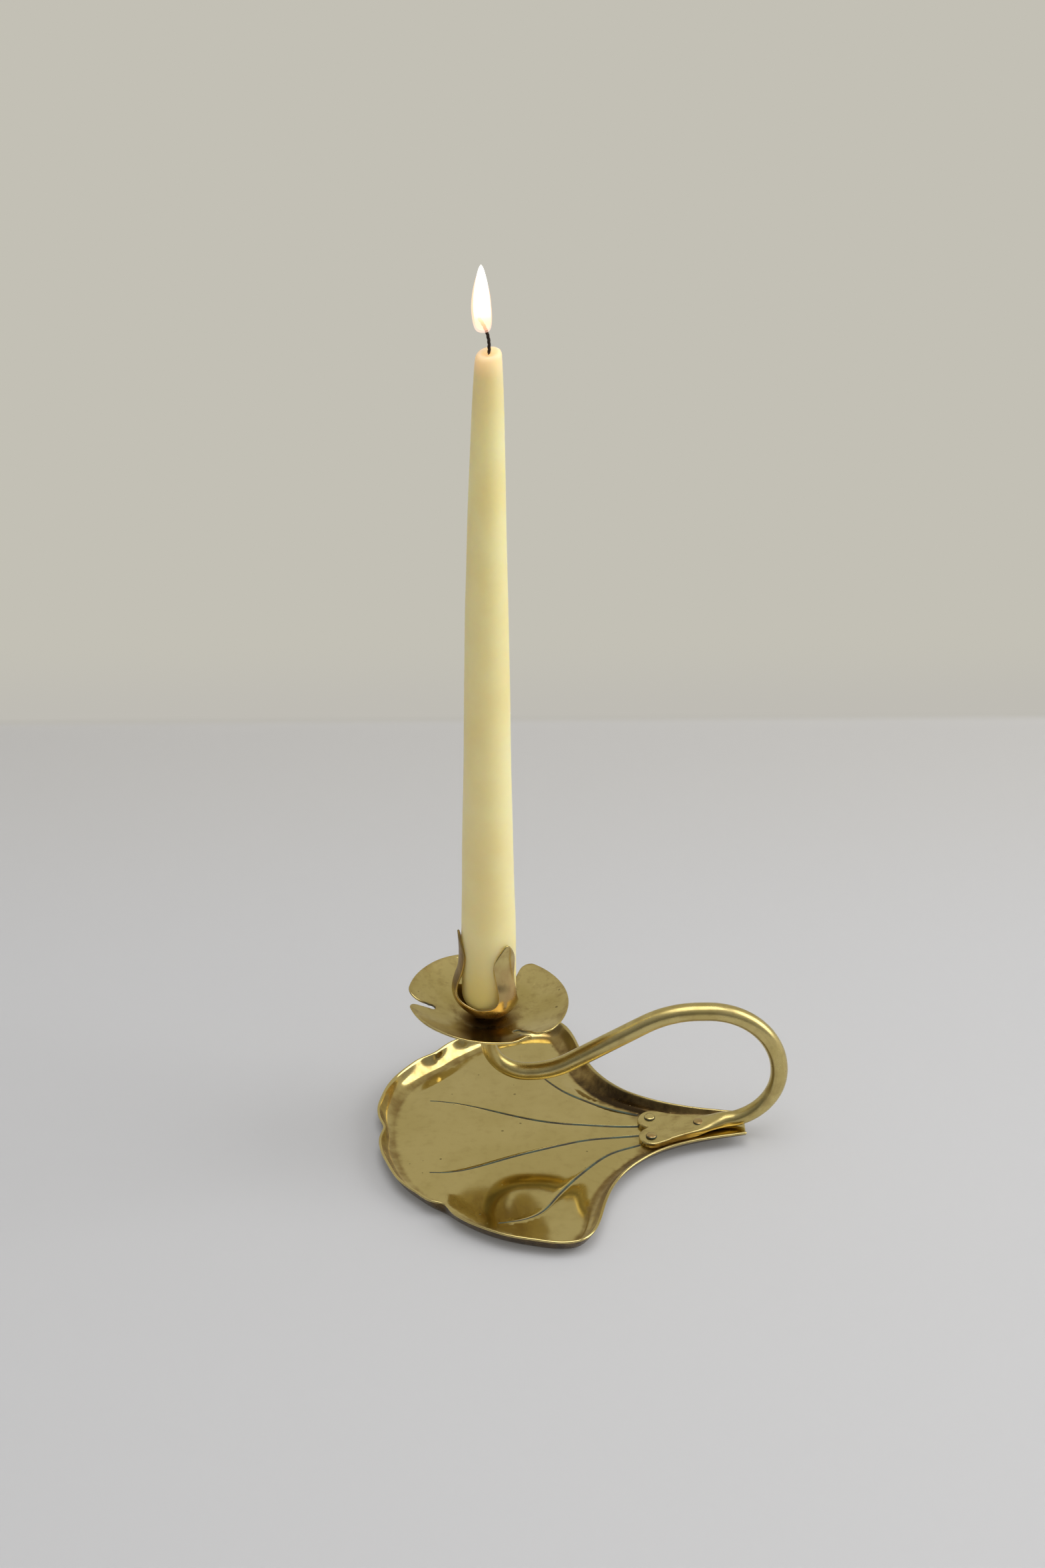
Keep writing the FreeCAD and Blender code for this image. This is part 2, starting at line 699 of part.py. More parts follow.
def make_cup_screw():
    floor = size.pan_seat_height + size.pan_sheet + size.cup_floor
    shank, head = size.screw_diameter / 2, size.screw_head / 2
    hole = (size.screw_diameter + size.screw_clearance) / 2
    return revolved_body("cup_screw", [
        (0.0, floor - size.screw_length),
        (shank, floor - size.screw_length),
        (shank, floor - (head - hole)),
        (hole, floor - (head - hole)),
        (head, floor),
        (0.0, floor),
    ])


# ---------------------------------------------------------------- candle and wick
def make_candle():
    foot = size.pan_seat_height + size.pan_sheet + size.cup_floor + size.candle_gap
    top = foot + size.candle_length
    base, end = size.candle_diameter / 2, size.candle_top_diameter / 2
    wick = size.wick_diameter / 2
    pool = top - size.candle_pool
    rounding = size.candle_foot_round
    tuck = 1 - math.sqrt(0.5)      # how far a quarter round's middle lies from its corner
    return revolved_body("candle", [
        (0.0, foot),
        (base - rounding, foot, (base - rounding * tuck, foot + rounding * tuck)),
        (base, foot + rounding, ((base + end) / 2 + size.candle_swell, (foot + rounding + top) / 2)),
        (end, top - 1.4, (end - 0.35, top - 0.3)),
        (end - 1.3, top, (end - 2.8, pool + 0.45)),
        (wick, pool),
        (wick, pool - size.wick_depth),
        (0.0, pool - size.wick_depth),
    ])


def make_wick():
    top = (size.pan_seat_height + size.pan_sheet + size.cup_floor + size.candle_gap
           + size.candle_length)
    root = float(top - size.candle_pool - size.wick_depth)
    bend = float(top + size.wick_rise - 1)
    reach, climb = float(size.wick_reach), float(size.wick_tip_rise - size.wick_rise + 1)
    radius = (reach ** 2 + climb ** 2) / (2 * reach)
    turn = math.asin(climb / radius) / 2
    middle = Vector(radius * (math.cos(turn) - 1), 0, bend + radius * math.sin(turn))
    straight = Part.LineSegment(Vector(0, 0, root), Vector(0, 0, bend))
    curl = Part.Arc(Vector(0, 0, bend), middle, Vector(-reach, 0, bend + climb))
    line = shape_object("wick_line", Part.Wire([straight.toShape(), curl.toShape()]))
    end = doc.addObject("Part::Circle", "wick_section")
    bind(end, "Radius", size.wick_diameter / 2)
    end.Placement = Placement(Vector(0, 0, root), Rotation())
    wick = doc.addObject("Part::Sweep", "wick")
    wick.Sections = [end]
    wick.Spine = (line, ["Edge1", "Edge2"])
    wick.Solid = True
    wick.Frenet = False
    return wick


PIECES = [
    make_leaf_tray(), make_handle_rod(), make_rivet("rivet_front"), make_rivet("rivet_back"),
    make_rivet("rivet_stem"), make_drip_pan(), make_candle_cup(), make_cup_screw(),
    make_candle(), make_wick(),
]
doc.recompute()

for item in doc.Objects:
    if "Invalid" in item.State or "Error" in item.State:
        raise RuntimeError(f"{item.Label} did not build: {item.State}")
for piece in PIECES:
    if piece.Shape.isNull() or not piece.Shape.isValid():
        raise RuntimeError(f"{piece.Label} has no valid shape")
    if len(piece.Shape.Solids) != 1:
        raise RuntimeError(f"{piece.Label} is {len(piece.Shape.Solids)} solids")

os.makedirs("parts", exist_ok=True)
for piece in PIECES:
    piece.Shape.exportStep(f"parts/{piece.Label}.step")
    box = piece.Shape.BoundBox
    print(f"{piece.Label:12s} {piece.Shape.Volume:9.1f} mm3"
          f"  x {box.XMin:7.2f} {box.XMax:7.2f}  y {box.YMin:7.2f} {box.YMax:7.2f}"
          f"  z {box.ZMin:7.2f} {box.ZMax:7.2f}")
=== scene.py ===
"""Leaf candlestick: the dressed model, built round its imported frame.

Shapes are worked out in millimetres, in the frame's axes, and become metres in plain_mesh.
"""

import math

import bpy
import numpy as np
from mathutils import Matrix, Vector
from mathutils.geometry import delaunay_2d_cdt


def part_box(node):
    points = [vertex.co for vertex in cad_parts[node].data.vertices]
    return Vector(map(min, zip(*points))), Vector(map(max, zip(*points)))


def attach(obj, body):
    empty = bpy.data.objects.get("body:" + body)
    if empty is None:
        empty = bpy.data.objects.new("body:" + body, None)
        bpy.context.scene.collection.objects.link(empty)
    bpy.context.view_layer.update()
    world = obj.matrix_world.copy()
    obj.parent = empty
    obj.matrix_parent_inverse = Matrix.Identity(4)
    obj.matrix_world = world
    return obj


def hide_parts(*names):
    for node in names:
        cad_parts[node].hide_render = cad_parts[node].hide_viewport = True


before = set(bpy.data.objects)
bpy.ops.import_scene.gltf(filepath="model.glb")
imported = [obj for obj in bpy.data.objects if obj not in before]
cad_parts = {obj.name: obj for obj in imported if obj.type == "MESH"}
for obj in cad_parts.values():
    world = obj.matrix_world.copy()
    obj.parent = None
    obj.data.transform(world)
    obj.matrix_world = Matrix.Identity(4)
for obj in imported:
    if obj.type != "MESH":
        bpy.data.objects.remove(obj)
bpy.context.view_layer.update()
MM = 0.001


def corners(node):
    """Lowest and highest corner of a frame node, in millimetres."""
    return [np.array(corner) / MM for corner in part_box(node)]


# ---------------- sizes from the frame
_, TRAY_HIGH = corners("leaf_tray")
PAN_LOW, PAN_HIGH = corners("drip_pan")
CANDLE_LOW, CANDLE_HIGH = corners("candle")
WICK_LOW, WICK_HIGH = corners("wick")
SCREW_LOW, SCREW_HIGH = corners("cup_screw")

# ---------------- sheet metal
MIRROR = np.array([1, -1])
ROUND = 0.5523             # how far a round corner's handles reach, as a share of its radius
# by a point's side of its sheet (see thicken): within EDGE it is on the rounded edge, past -UNDER underneath
EDGE, UNDER = 0.95, 0.9
# how far apart the points lie inside each sheet
TRAY_STEP, PAN_STEP, CUP_STEP = 1.7, 1.15, 1.05

# ---------------- leaf tray sizes
SHEET = 1.2
LEAF_FLARE, STEM_FLARE = 8.0, 4.6
STEM_HALF_WIDTH = 8.3
RAMP_START, RAMP_ANGLE = 34.0, math.radians(3.6)
LEAF_LEAN = 2.8
WALL_SPLAY = 0.3
FLOOR_DOME = 3.0
LIP_SHARES = np.linspace(0, 1, 11)
HALF_LIP = [
    (-49.0, 0.0), (-48.6, 12.0), (-46.2, 24.0), (-40.2, 38.0), (-31.5, 49.3), (-22.0, 58.0),
    (-11.0, 67.5), (1.0, 75.0), (14.0, 79.8), (27.0, 82.2), (36.0, 80.2), (42.3, 71.5),
    (45.8, 59.0), (50.2, 45.0), (57.3, 33.0), (67.0, 23.6), (80.0, 16.4), (96.0, 11.5),
]
# crimps of the lip: distance along it from the leaf's tip, depth, reach
TIP_CRIMP = (0.0, 3.0, 6.8)
BACK_CRIMPS = [(65.0, 0.9, 5.5), (83.0, 0.4, 5.0), (49.0, 0.3, 6.0)]
FRONT_CRIMPS = [(66.0, 3.0, 5.0), (52.0, 0.4, 5.0)]
VEINS = [
    [(66.0, -2.5), (45.2, -5.8), (29.0, -10.8), (12.7, -16.6), (-3.5, -23.4), (-18.4, -27.1),
     (-25.0, -26.4)],
    [(66.0, -9.5), (54.0, -15.0), (43.3, -25.3), (35.5, -34.4), (28.2, -44.5), (21.6, -53.7),
     (12.5, -58.6), (4.3, -60.2)],
    [(66.0, 4.3), (45.3, 4.6), (29.5, 6.3), (13.3, 11.2), (-3.2, 18.3), (-18.2, 23.6), (-25.0, 25.4)],
    [(66.0, 12.7), (57.8, 16.4), (46.5, 21.9), (35.6, 30.0), (28.0, 39.4), (21.5, 50.0)],
]
VEIN_WIDTH, VEIN_DEPTH, VEIN_CLEARANCE = 1.45, 0.42, 0.8
# across a vein: shares of its width and of its depth
VEIN_SECTION = [(-1.0, 0), (-0.62, 0.15), (-0.34, 0.8), (0, 1), (0.34, 0.8), (0.62, 0.15), (1.0, 0)]

# ---------------- handle sizes
ROD_SIDES = 80
ROD_FOOT_OF_UPRIGHT = 53.7
# from there: a bend's radius and angle, or a straight's length
ROD_BENDS = [
    (17.2, 90.0), (0.9,), (34.0, 31.0), (36.8,), (45.3, -31.0), (3.9,), (32.2, -90.0), (25.5, -78.5),
]
# rod radius at distances along it from the top of its upright
ROD_RADII = [(0, 3.2), (13, 3.32), (25, 3.45), (37, 3.85), (60, 4.1), (73, 4.12), (113, 4.0), (148, 3.92),
             (178, 3.72), (210, 3.45)]
# foot: x, half width, height, share of flatness, clearance under it
FOOT_SECTIONS = [
    (106.0, 3.45, 6.9, 0.0, 0.55), (103.0, 3.95, 6.6, 0.0, 0.5), (97.5, 4.95, 5.2, 0.15, 0.1),
    (92.0, 6.1, 3.7, 0.6, 0.0), (86.0, 7.4, 2.9, 0.9, 0.0), (80.0, 9.3, 2.5, 1.0, 0.0),
]
LOBE_CENTRE_X, LOBE_SPACING, LOBE_RADIUS = 72.3, 12.0, 6.3
FOOT_THICKNESS, FOOT_EDGE, FOOT_STEP, PLATE_STEP = 2.4, 0.75, 0.8, 0.6
# the plate's last loops: how far each lies from its end, and the plate's length
PLATE_END_GAPS, PLATE_RUN = [0, 0.03, 0.08, 0.16, 0.28, 0.44, 0.66, 1.0, 1.5], 13.0
RIVET_HEAD, RIVET_DOME, RIVET_SHANK, RIVET_TAIL = 2.45, 1.1, 1.6, 0.8

# ---------------- pan and cup sizes
PAN_SHEET = 1.0
PAN_SEAT_RADIUS = 8.8
PAN_TILT, PAN_CURL = 0.055, 1.9
# slots: azimuth, the mouth as (distance from the axis, sideways, half width), the eye as (distance,
# sideways), and the corner radii of the petals before and after it
PAN_SLOTS = [
    (63.6, (27.0, 0.3, 1.4), (22.5, 0.0), 4.5, 6.0),
    (187.5, (28.0, -1.2, 1.6), (24.4, -0.7), 6.0, 3.6),
    (301.4, (25.5, 2.7, 2.1), (20.8, 1.4), 1.6, 5.5),
]
SLOT_HALF_WIDTH, SLOT_EYE = 1.3, 1.5
CUP_PROFILE = [
    (2.15, 70.05), (6.0, 70.05), (8.5, 71.0), (11.3, 72.9), (13.4, 75.4), (14.7, 78.2), (15.1, 80.5),
    (14.8, 83.5), (13.8, 87.0), (12.7, 90.5), (12.1, 95.0), (12.05, 100.0), (12.4, 105.0), (12.7, 109.2),
]
CUP_SHEET, CUP_BASE_SHEET = 0.95, 2.5
COLLAR_RADIUS, COLLAR_TOP = 5.6, 68.9
VALLEY_HEIGHT = 76.3
VALLEY_DIP = 1.9
# one side of a sepal: distance from its middle line, measured round the cup, and height
SEPAL_SIDE = [
    (11.9, 76.9), (7.8, 78.6), (5.4, 81.4), (4.7, 85.0), (4.65, 88.5), (5.0, 92.0), (5.75, 96.8),
    (5.6, 99.8), (4.8, 102.0), (3.8, 104.0), (2.5, 106.0), (1.2, 107.6), (0.3, 108.3),
]
# the first sepal's azimuth; for each, how far its upper end leans round the cup in degrees, its added
# height and its widening
SEPAL_AZIMUTH = 65.0
SEPALS = [(0.0, 0.3, 0.0), (-1.5, 1.9, 0.10), (3.0, -0.3, 0.0)]
SCREW_SHANK = 2.0
SCREW_SLOT, SLOT_DEPTH = 1.0, 0.9

# ---------------- candle sizes
WICK_RADIUS, STRAND_RADIUS, STRAND_TURNS = 0.75, 0.35, 4.0
CANDLE_ROUND, CANDLE_POOL, CANDLE_SLANT = 7.5, 0.65, 1.7
# the candle's diameter at heights above the table
CANDLE_WIDTHS = [
    (71.4, 23.0), (118, 22.6), (128, 22.0), (147, 21.3), (167, 20.6), (186, 19.7), (204, 19.1), (223, 18.6),
    (241, 17.9), (259, 17.3), (277, 16.4), (294, 15.6), (311, 14.7), (328, 13.6), (345, 12.5), (361, 11.1),
    (369.5, 10.1),
]
# its melted upper edge: how far inside its side, and how far below its top
CANDLE_LIP = [
    (0.02, 1.9), (0.15, 1.1), (0.5, 0.45), (1.0, 0.12), (1.5, 0.1), (2.1, 0.3), (2.9, 0.5), (3.8, 0.6),
]
# how far the candle's middle line strays from straight, at heights above the table
CANDLE_STRAY = [(71, 0.4), (118, 0.1), (150, -0.3), (200, -0.5), (260, -0.8), (300, -0.8), (371, -0.2)]


# ---------------- plain geometry
def ease(value, low=0.0, high=1.0):
    """0 below low, 1 above high, and smooth between them."""
    share = np.clip((np.asarray(value, float) - low) / (high - low), 0.0, 1.0)
    return share * share * (3.0 - 2.0 * share)


def unit(vectors):
    """The same directions, each of length 1."""
    length = np.linalg.norm(vectors, axis=-1, keepdims=True)
    return vectors / np.maximum(length, 1e-12)


def curve_through(points, count, start=None, end=None):
    """Evenly spaced points on the smooth curve through the given ones."""
    points = np.array(points, float)
    spans = np.linalg.norm(np.diff(points, axis=0), axis=1)
    size = len(points)
    rows, right = np.zeros((size, size)), np.zeros_like(points)
    for i in range(1, size - 1):
        before, after = 1 / spans[i - 1], 1 / spans[i]
        rows[i, i - 1:i + 2] = before, 2 * (before + after), after
        right[i] = 3 * ((points[i] - points[i - 1]) * before ** 2 + (points[i + 1] - points[i]) * after ** 2)
    for i, near, direction in ((0, 1, start), (size - 1, size - 2, end)):
        if direction is None:
            rows[i, i], rows[i, near] = 2, 1
            right[i] = 3 * (points[max(i, near)] - points[min(i, near)]) / spans[min(i, near)]
        else:
            rows[i, i] = 1
            right[i] = unit(np.array(direction, float))
    slopes = np.linalg.solve(rows, right)
    fine = []
    for i, span in enumerate(spans):
        t = np.linspace(0, 1, 40, endpoint=i == size - 2)[:, None]
        fine.append((2 * t ** 3 - 3 * t ** 2 + 1) * points[i] + (t ** 3 - 2 * t ** 2 + t) * span * slopes[i]
                    + (3 * t ** 2 - 2 * t ** 3) * points[i + 1] + (t ** 3 - t ** 2) * span * slopes[i + 1])
    return spread(np.concatenate(fine), count)


def distances(line):
    """How far along a polyline each of its points lies."""
    return np.concatenate([[0], np.cumsum(np.linalg.norm(np.diff(line, axis=0), axis=1))])


def spread(line, count):
    """A polyline's points, spaced evenly."""
    along = distances(line)
    even = np.linspace(0, along[-1], count)
    return np.stack([np.interp(even, along, line[:, k]) for k in range(line.shape[1])], axis=1)


def nearest(points, others, block=400):
    """Distance from each point to the nearest of the others."""
    found = [np.linalg.norm(points[i:i + block, None] - others[None], axis=2).min(axis=1)
             for i in range(0, len(points), block)]
    return np.concatenate(found) if found else np.zeros(0)


def inside(points, loop):
    """Whether each point lies inside a closed loop."""
    held = np.zeros(len(points), bool)
    for a, b in zip(loop, np.roll(loop, -1, axis=0)):
        crosses = (a[1] > points[:, 1]) != (b[1] > points[:, 1])
        with np.errstate(divide="ignore", invalid="ignore"):
            at = a[0] + (points[:, 1] - a[1]) * (b[0] - a[0]) / (b[1] - a[1])
        held ^= crosses & (points[:, 0] < at)
    return held


def honeycomb(loop, step):
    """Points spaced evenly inside a loop, clear of its edge."""
    low, high = loop.min(axis=0), loop.max(axis=0)
    rows = np.arange(low[1], high[1], step * 0.866)
    grid = np.array([(x + (k % 2) * step / 2, y) for k, y in enumerate(rows)
                     for x in np.arange(low[0], high[0], step)])
    grid = grid[inside(grid, loop)]
    return grid[nearest(grid, loop) > 0.6 * step]


def triangles(points, lines):
    """Triangles between flat points, keeping the given pairs joined, inside the outer loop."""
    made = delaunay_2d_cdt([Vector(p) for p in points], lines, [], 1, 1e-7)
    owner = [given[0] for given in made[3]]
    return [tuple(owner[i] for i in face) for face in made[2]]


def ring_lines(count, start=0):
    """The pairs that join a closed loop's points."""
    return [(start + i, start + (i + 1) % count) for i in range(count)]


def vertex_normals(points, faces):
    """Each point's normal, from the triangles and quads round it."""
    normals = np.zeros_like(points)
    for size in (3, 4):
        group = np.array([f for f in faces if len(f) == size], int).reshape(-1, size)
        corner = points[group]
        facing = np.cross(corner[:, 2] - corner[:, 0], corner[:, -1] - corner[:, 1])
        for k in range(size):
            np.add.at(normals, group[:, k], facing)
    return unit(normals)


def thicken(points, faces, thickness, steps=6):
    """A closed sheet with rounded edges round a middle surface.

    Returns its points and faces, and for each point the one it came from and its side:
    1 on the face that the normals point to, -1 on the other.
    """
    normals = vertex_normals(points, faces)
    half = np.broadcast_to(np.asarray(thickness, float) / 2, len(points))[:, None]
    ahead = dict.fromkeys(pair for face in faces for pair in zip(face, face[1:] + face[:1]))
    border = {a: b for a, b in ahead if (b, a) not in ahead}
    behind = {b: a for a, b in border.items()}
    rim = np.array(list(border), int)
    tangent = unit(points[[border[i] for i in rim]] - points[[behind[i] for i in rim]])
    outward = np.zeros_like(points)
    outward[rim] = unit(np.cross(tangent, normals[rim]))
    count = len(points)
    made = [points + normals * half - outward * half, points - normals * half - outward * half]
    source, side = [np.arange(count)] * 2, [np.ones(count), -np.ones(count)]
    rings = [{i: i for i in border}]
    total = 2 * count
    for turn in math.pi * np.arange(1, steps) / steps:
        made.append(points[rim] - outward[rim] * half[rim] * (1 - math.sin(turn))
                    + normals[rim] * half[rim] * math.cos(turn))
        source.append(rim)
        side.append(np.full(len(rim), math.cos(turn)))
        rings.append({int(i): total + n for n, i in enumerate(rim)})
        total += len(rim)
    rings.append({i: count + i for i in border})
    closed = list(faces) + [tuple(count + i for i in reversed(face)) for face in faces]
    for near, far in zip(rings, rings[1:]):
        closed += [(near[b], near[a], far[a], far[b]) for a, b in border.items()]
    return np.concatenate(made), closed, np.concatenate(source), np.concatenate(side)


def round_angles(count):
    """Evenly spaced angles round a circle."""
    return np.arange(count) * 2 * math.pi / count


def grid_faces(rows, columns, wrap=False, start=0):
    """Quads between rows of points; wrap joins each row's last point to its first."""
    last = columns if wrap else columns - 1
    return [(start + r * columns + c, start + r * columns + (c + 1) % columns,
             start + (r + 1) * columns + (c + 1) % columns, start + (r + 1) * columns + c)
            for r in range(rows - 1) for c in range(last)]


def capped_rings(rings, foot, top):
    """A closed shape from rings of equal count, listed upwards, and the poles that close it."""
    count = len(rings[0])
    points = np.concatenate([[foot], *rings, [top]])
    faces = grid_faces(len(rings), count, wrap=True, start=1)
    last, base = len(points) - 1, 1 + (len(rings) - 1) * count
    for c in range(count):
        after = (c + 1) % count
        faces += [(0, 1 + after, 1 + c), (last, base + c, base + after)]
    return points, faces


def turned(profile, segments):
    """A closed turned shape from (radius, height) points that start and end on the axis."""
    angles = round_angles(segments)
    rings = [[(radius * math.cos(a), radius * math.sin(a), height) for a in angles]
             for radius, height in profile[1:-1]]
    return capped_rings(rings, (0, 0, profile[0][1]), (0, 0, profile[-1][1]))


def put(name, data):
    """A new object in the scene."""
    made = bpy.data.objects.new(name, data)
    bpy.context.scene.collection.objects.link(made)
    return made


def plain_mesh(name, points, edges=(), faces=(), values=None):
    """A mesh from millimetre points, with named values at its points."""
    mesh = bpy.data.meshes.new(name)
    mesh.from_pydata((np.asarray(points) * MM).tolist(), edges, faces)
    for key, value in (values or {}).items():
        value = np.asarray(value, np.float32)
        kind, field = ("FLOAT", "value") if value.ndim == 1 else ("FLOAT_VECTOR", "vector")
        mesh.attributes.new(key, kind, "POINT").data.foreach_set(field, value.ravel())
    return mesh


def mesh_piece(name, points, faces, material, values=None):
    """A smooth mesh object in one finish."""
    mesh = plain_mesh(name, points, (), faces, values)
    mesh.shade_smooth()
    mesh.materials.append(material)
    return put(name, mesh)


def settled(holder, name):
    """The plain mesh that an object's modifiers make of it."""
    evaluated = holder.evaluated_get(bpy.context.evaluated_depsgraph_get())
    mesh = bpy.data.meshes.new_from_object(evaluated)
    mesh.name = name
    return mesh


def stand_in(piece, body, slot, *nodes):
    """The piece moves with a body and stands for its frame nodes."""
    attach(piece, body)
    if nodes:
        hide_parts(*nodes)
    return piece


# ---------------- node trees
def both_ways(operation):
    """An operator that adds a Math node, and its reflected form."""
    return (lambda wire, other: wire.tree.math(operation, wire, other),
            lambda wire, other: wire.tree.math(operation, other, wire))


class Wire:
    """One output socket; arithmetic on it adds Math nodes."""

    __add__, __radd__ = both_ways("ADD")
    __sub__, __rsub__ = both_ways("SUBTRACT")
    __mul__, __rmul__ = both_ways("MULTIPLY")
    __truediv__, __rtruediv__ = both_ways("DIVIDE")

    def __init__(self, tree, socket):
        self.tree, self.socket = tree, socket

    def beside(self, output):
        """Another output of the same node."""
        return Wire(self.tree, self.socket.node.outputs[output])


class Tree:
    """A node tree, and short ways to add to it."""

    def __init__(self, tree):
        self.tree = tree

    def node(self, kind, settings=None, inputs=None, output=0):
        """Add a node: its settings first, then the values or links of its sockets."""
        node = self.tree.nodes.new(kind)
        for key, value in (settings or {}).items():
            setattr(node, key, value)
        for key, value in (inputs or {}).items():
            if isinstance(value, Wire):
                self.tree.links.new(value.socket, node.inputs[key])
            else:
                node.inputs[key].default_value = value
        return Wire(self, node.outputs[output]) if len(node.outputs) else None

    def math(self, operation, *values):
        return self.node("ShaderNodeMath", {"operation": operation}, dict(enumerate(values)))

    def vector(self, operation, first, second):
        return self.node("ShaderNodeVectorMath", {"operation": operation}, {0: first, 1: second})

    def scaled(self, vector, share):
        return self.node("ShaderNodeVectorMath", {"operation": "SCALE"}, {0: vector, "Scale": share})

    def joined(self, **parts):
        """A vector from its X, Y and Z, each 0 unless given."""
        return self.node("ShaderNodeCombineXYZ", None, parts)

    def parts(self, vector):
        """The three numbers of a vector or a colour."""
        first = self.node("ShaderNodeSeparateXYZ", None, {"Vector": vector})
        return [first.beside(k) for k in range(3)]

    def place(self):
        """The object's own coordinates, in millimetres."""
        return self.scaled(self.node("ShaderNodeTexCoord", None, None, "Object"), 1 / MM)

    def band(self, value, low, high):
        """0 below low, 1 above high, and smooth between; low may be the larger."""
        return self.node("ShaderNodeMapRange", {"interpolation_type": "SMOOTHSTEP"},
                         {"Value": value, "From Min": low, "From Max": high})

    def blend(self, share, first, second):
        """Two colours mixed by a share."""
        return self.node("ShaderNodeMix", {"data_type": "RGBA"}, {0: share, 6: first, 7: second}, output=2)

    def coats(self, colour, *coats):
        """A colour under coats, each given as its share and colour."""
        for share, coat in coats:
            colour = self.blend(share, colour, coat)
        return colour

    def noise(self, place, size, detail=3.0, rough=0.5):
        """Clouds whose lumps are about `size` across, in the units of `place`."""
        return self.node("ShaderNodeTexNoise", None, {
            "Vector": place, "Scale": 1.0 / size, "Detail": detail, "Roughness": rough})

    def spots(self, place, density):
        """Scattered spots: the distance from the nearest, and two random numbers of its own."""
        near = self.node("ShaderNodeTexVoronoi", None, {"Vector": place, "Scale": density, "Randomness": 1.0})
        return near, *self.parts(near.beside("Color"))[:2]

    def attribute(self, name, output="Fac"):
        """A value that the mesh's points carry."""
        return self.node("ShaderNodeAttribute", {"attribute_name": name}, None, output)

    def bump(self, height):
        """A normal from heights in millimetres."""
        return self.node("ShaderNodeBump", None, {"Strength": 1.0, "Distance": MM, "Height": height})

    def finish(self, geometry, material):
        """End a geometry tree with real meshes in their finish."""
        real = self.node("GeometryNodeRealizeInstances", None, {"Geometry": geometry})
        painted = self.node("GeometryNodeSetMaterial", None, {"Geometry": real, "Material": material})
        self.node("NodeGroupOutput", None, {"Geometry": painted})
        return self.tree


def tone(red, green, blue):
    """A shader colour from the 0 to 255 values of a screen colour."""
    linear = [v / 12.92 if v <= 0.04045 else ((v + 0.055) / 1.055) ** 2.4
              for v in (red / 255, green / 255, blue / 255)]
    return (*linear, 1.0)


def surface(name, paint, cover=None):
    """A material: paint(tree) gives the shader's sockets, and cover(tree, shader) what goes over it."""
    material = bpy.data.materials.new(name)
    material.use_nodes = True
    material.node_tree.nodes.clear()
    tree = Tree(material.node_tree)
    shader = tree.node("ShaderNodeBsdfPrincipled", None, paint(tree))
    if cover:
        shader = cover(tree, shader)
    tree.node("ShaderNodeOutputMaterial", None, {"Surface": shader})
    return material


def growth(name, inputs):
    """A geometry tree with named inputs besides its geometry: the tree, and its inputs by name."""
    group = bpy.data.node_groups.new(name, "GeometryNodeTree")
    for label, kind in {"Geometry": "Geometry", **inputs}.items():
        group.interface.new_socket(label, in_out="INPUT", socket_type="NodeSocket" + kind)
    group.interface.new_socket("Geometry", in_out="OUTPUT", socket_type="NodeSocketGeometry")
    tree = Tree(group)
    sockets = tree.node("NodeGroupInput").socket.node.outputs
    return tree, {socket.name: Wire(tree, socket) for socket in sockets}


def grown(name, start, group, settings):
    """The plain mesh that a geometry tree makes of a start mesh."""
    holder = put(name + "_start", start)
    modifier = holder.modifiers.new("grow", "NODES")
    modifier.node_group = group
    for item in group.interface.items_tree:
        if item.in_out == "INPUT" and item.name in settings:
            modifier[item.identifier] = settings[item.name]
    mesh = settled(holder, name)
    mesh.shade_smooth()
    bpy.data.objects.remove(holder)
    return put(name, mesh)


# ---------------- finishes
BRIGHT_BRASS = tone(207, 189, 127)
OLIVE_BRASS = tone(192, 173, 108)
# brown and dark coats: tarnished brass, and also painted shade where a piece's points carry it
BROWN_TARNISH_AND_SHADE = tone(138, 108, 60)
DARK_TARNISH_AND_SHADE = tone(66, 52, 34)
VERDIGRIS = tone(84, 108, 92)
GROOVE_DIRT = tone(62, 60, 48)
BRONZE_BLUSH = tone(180, 146, 100)


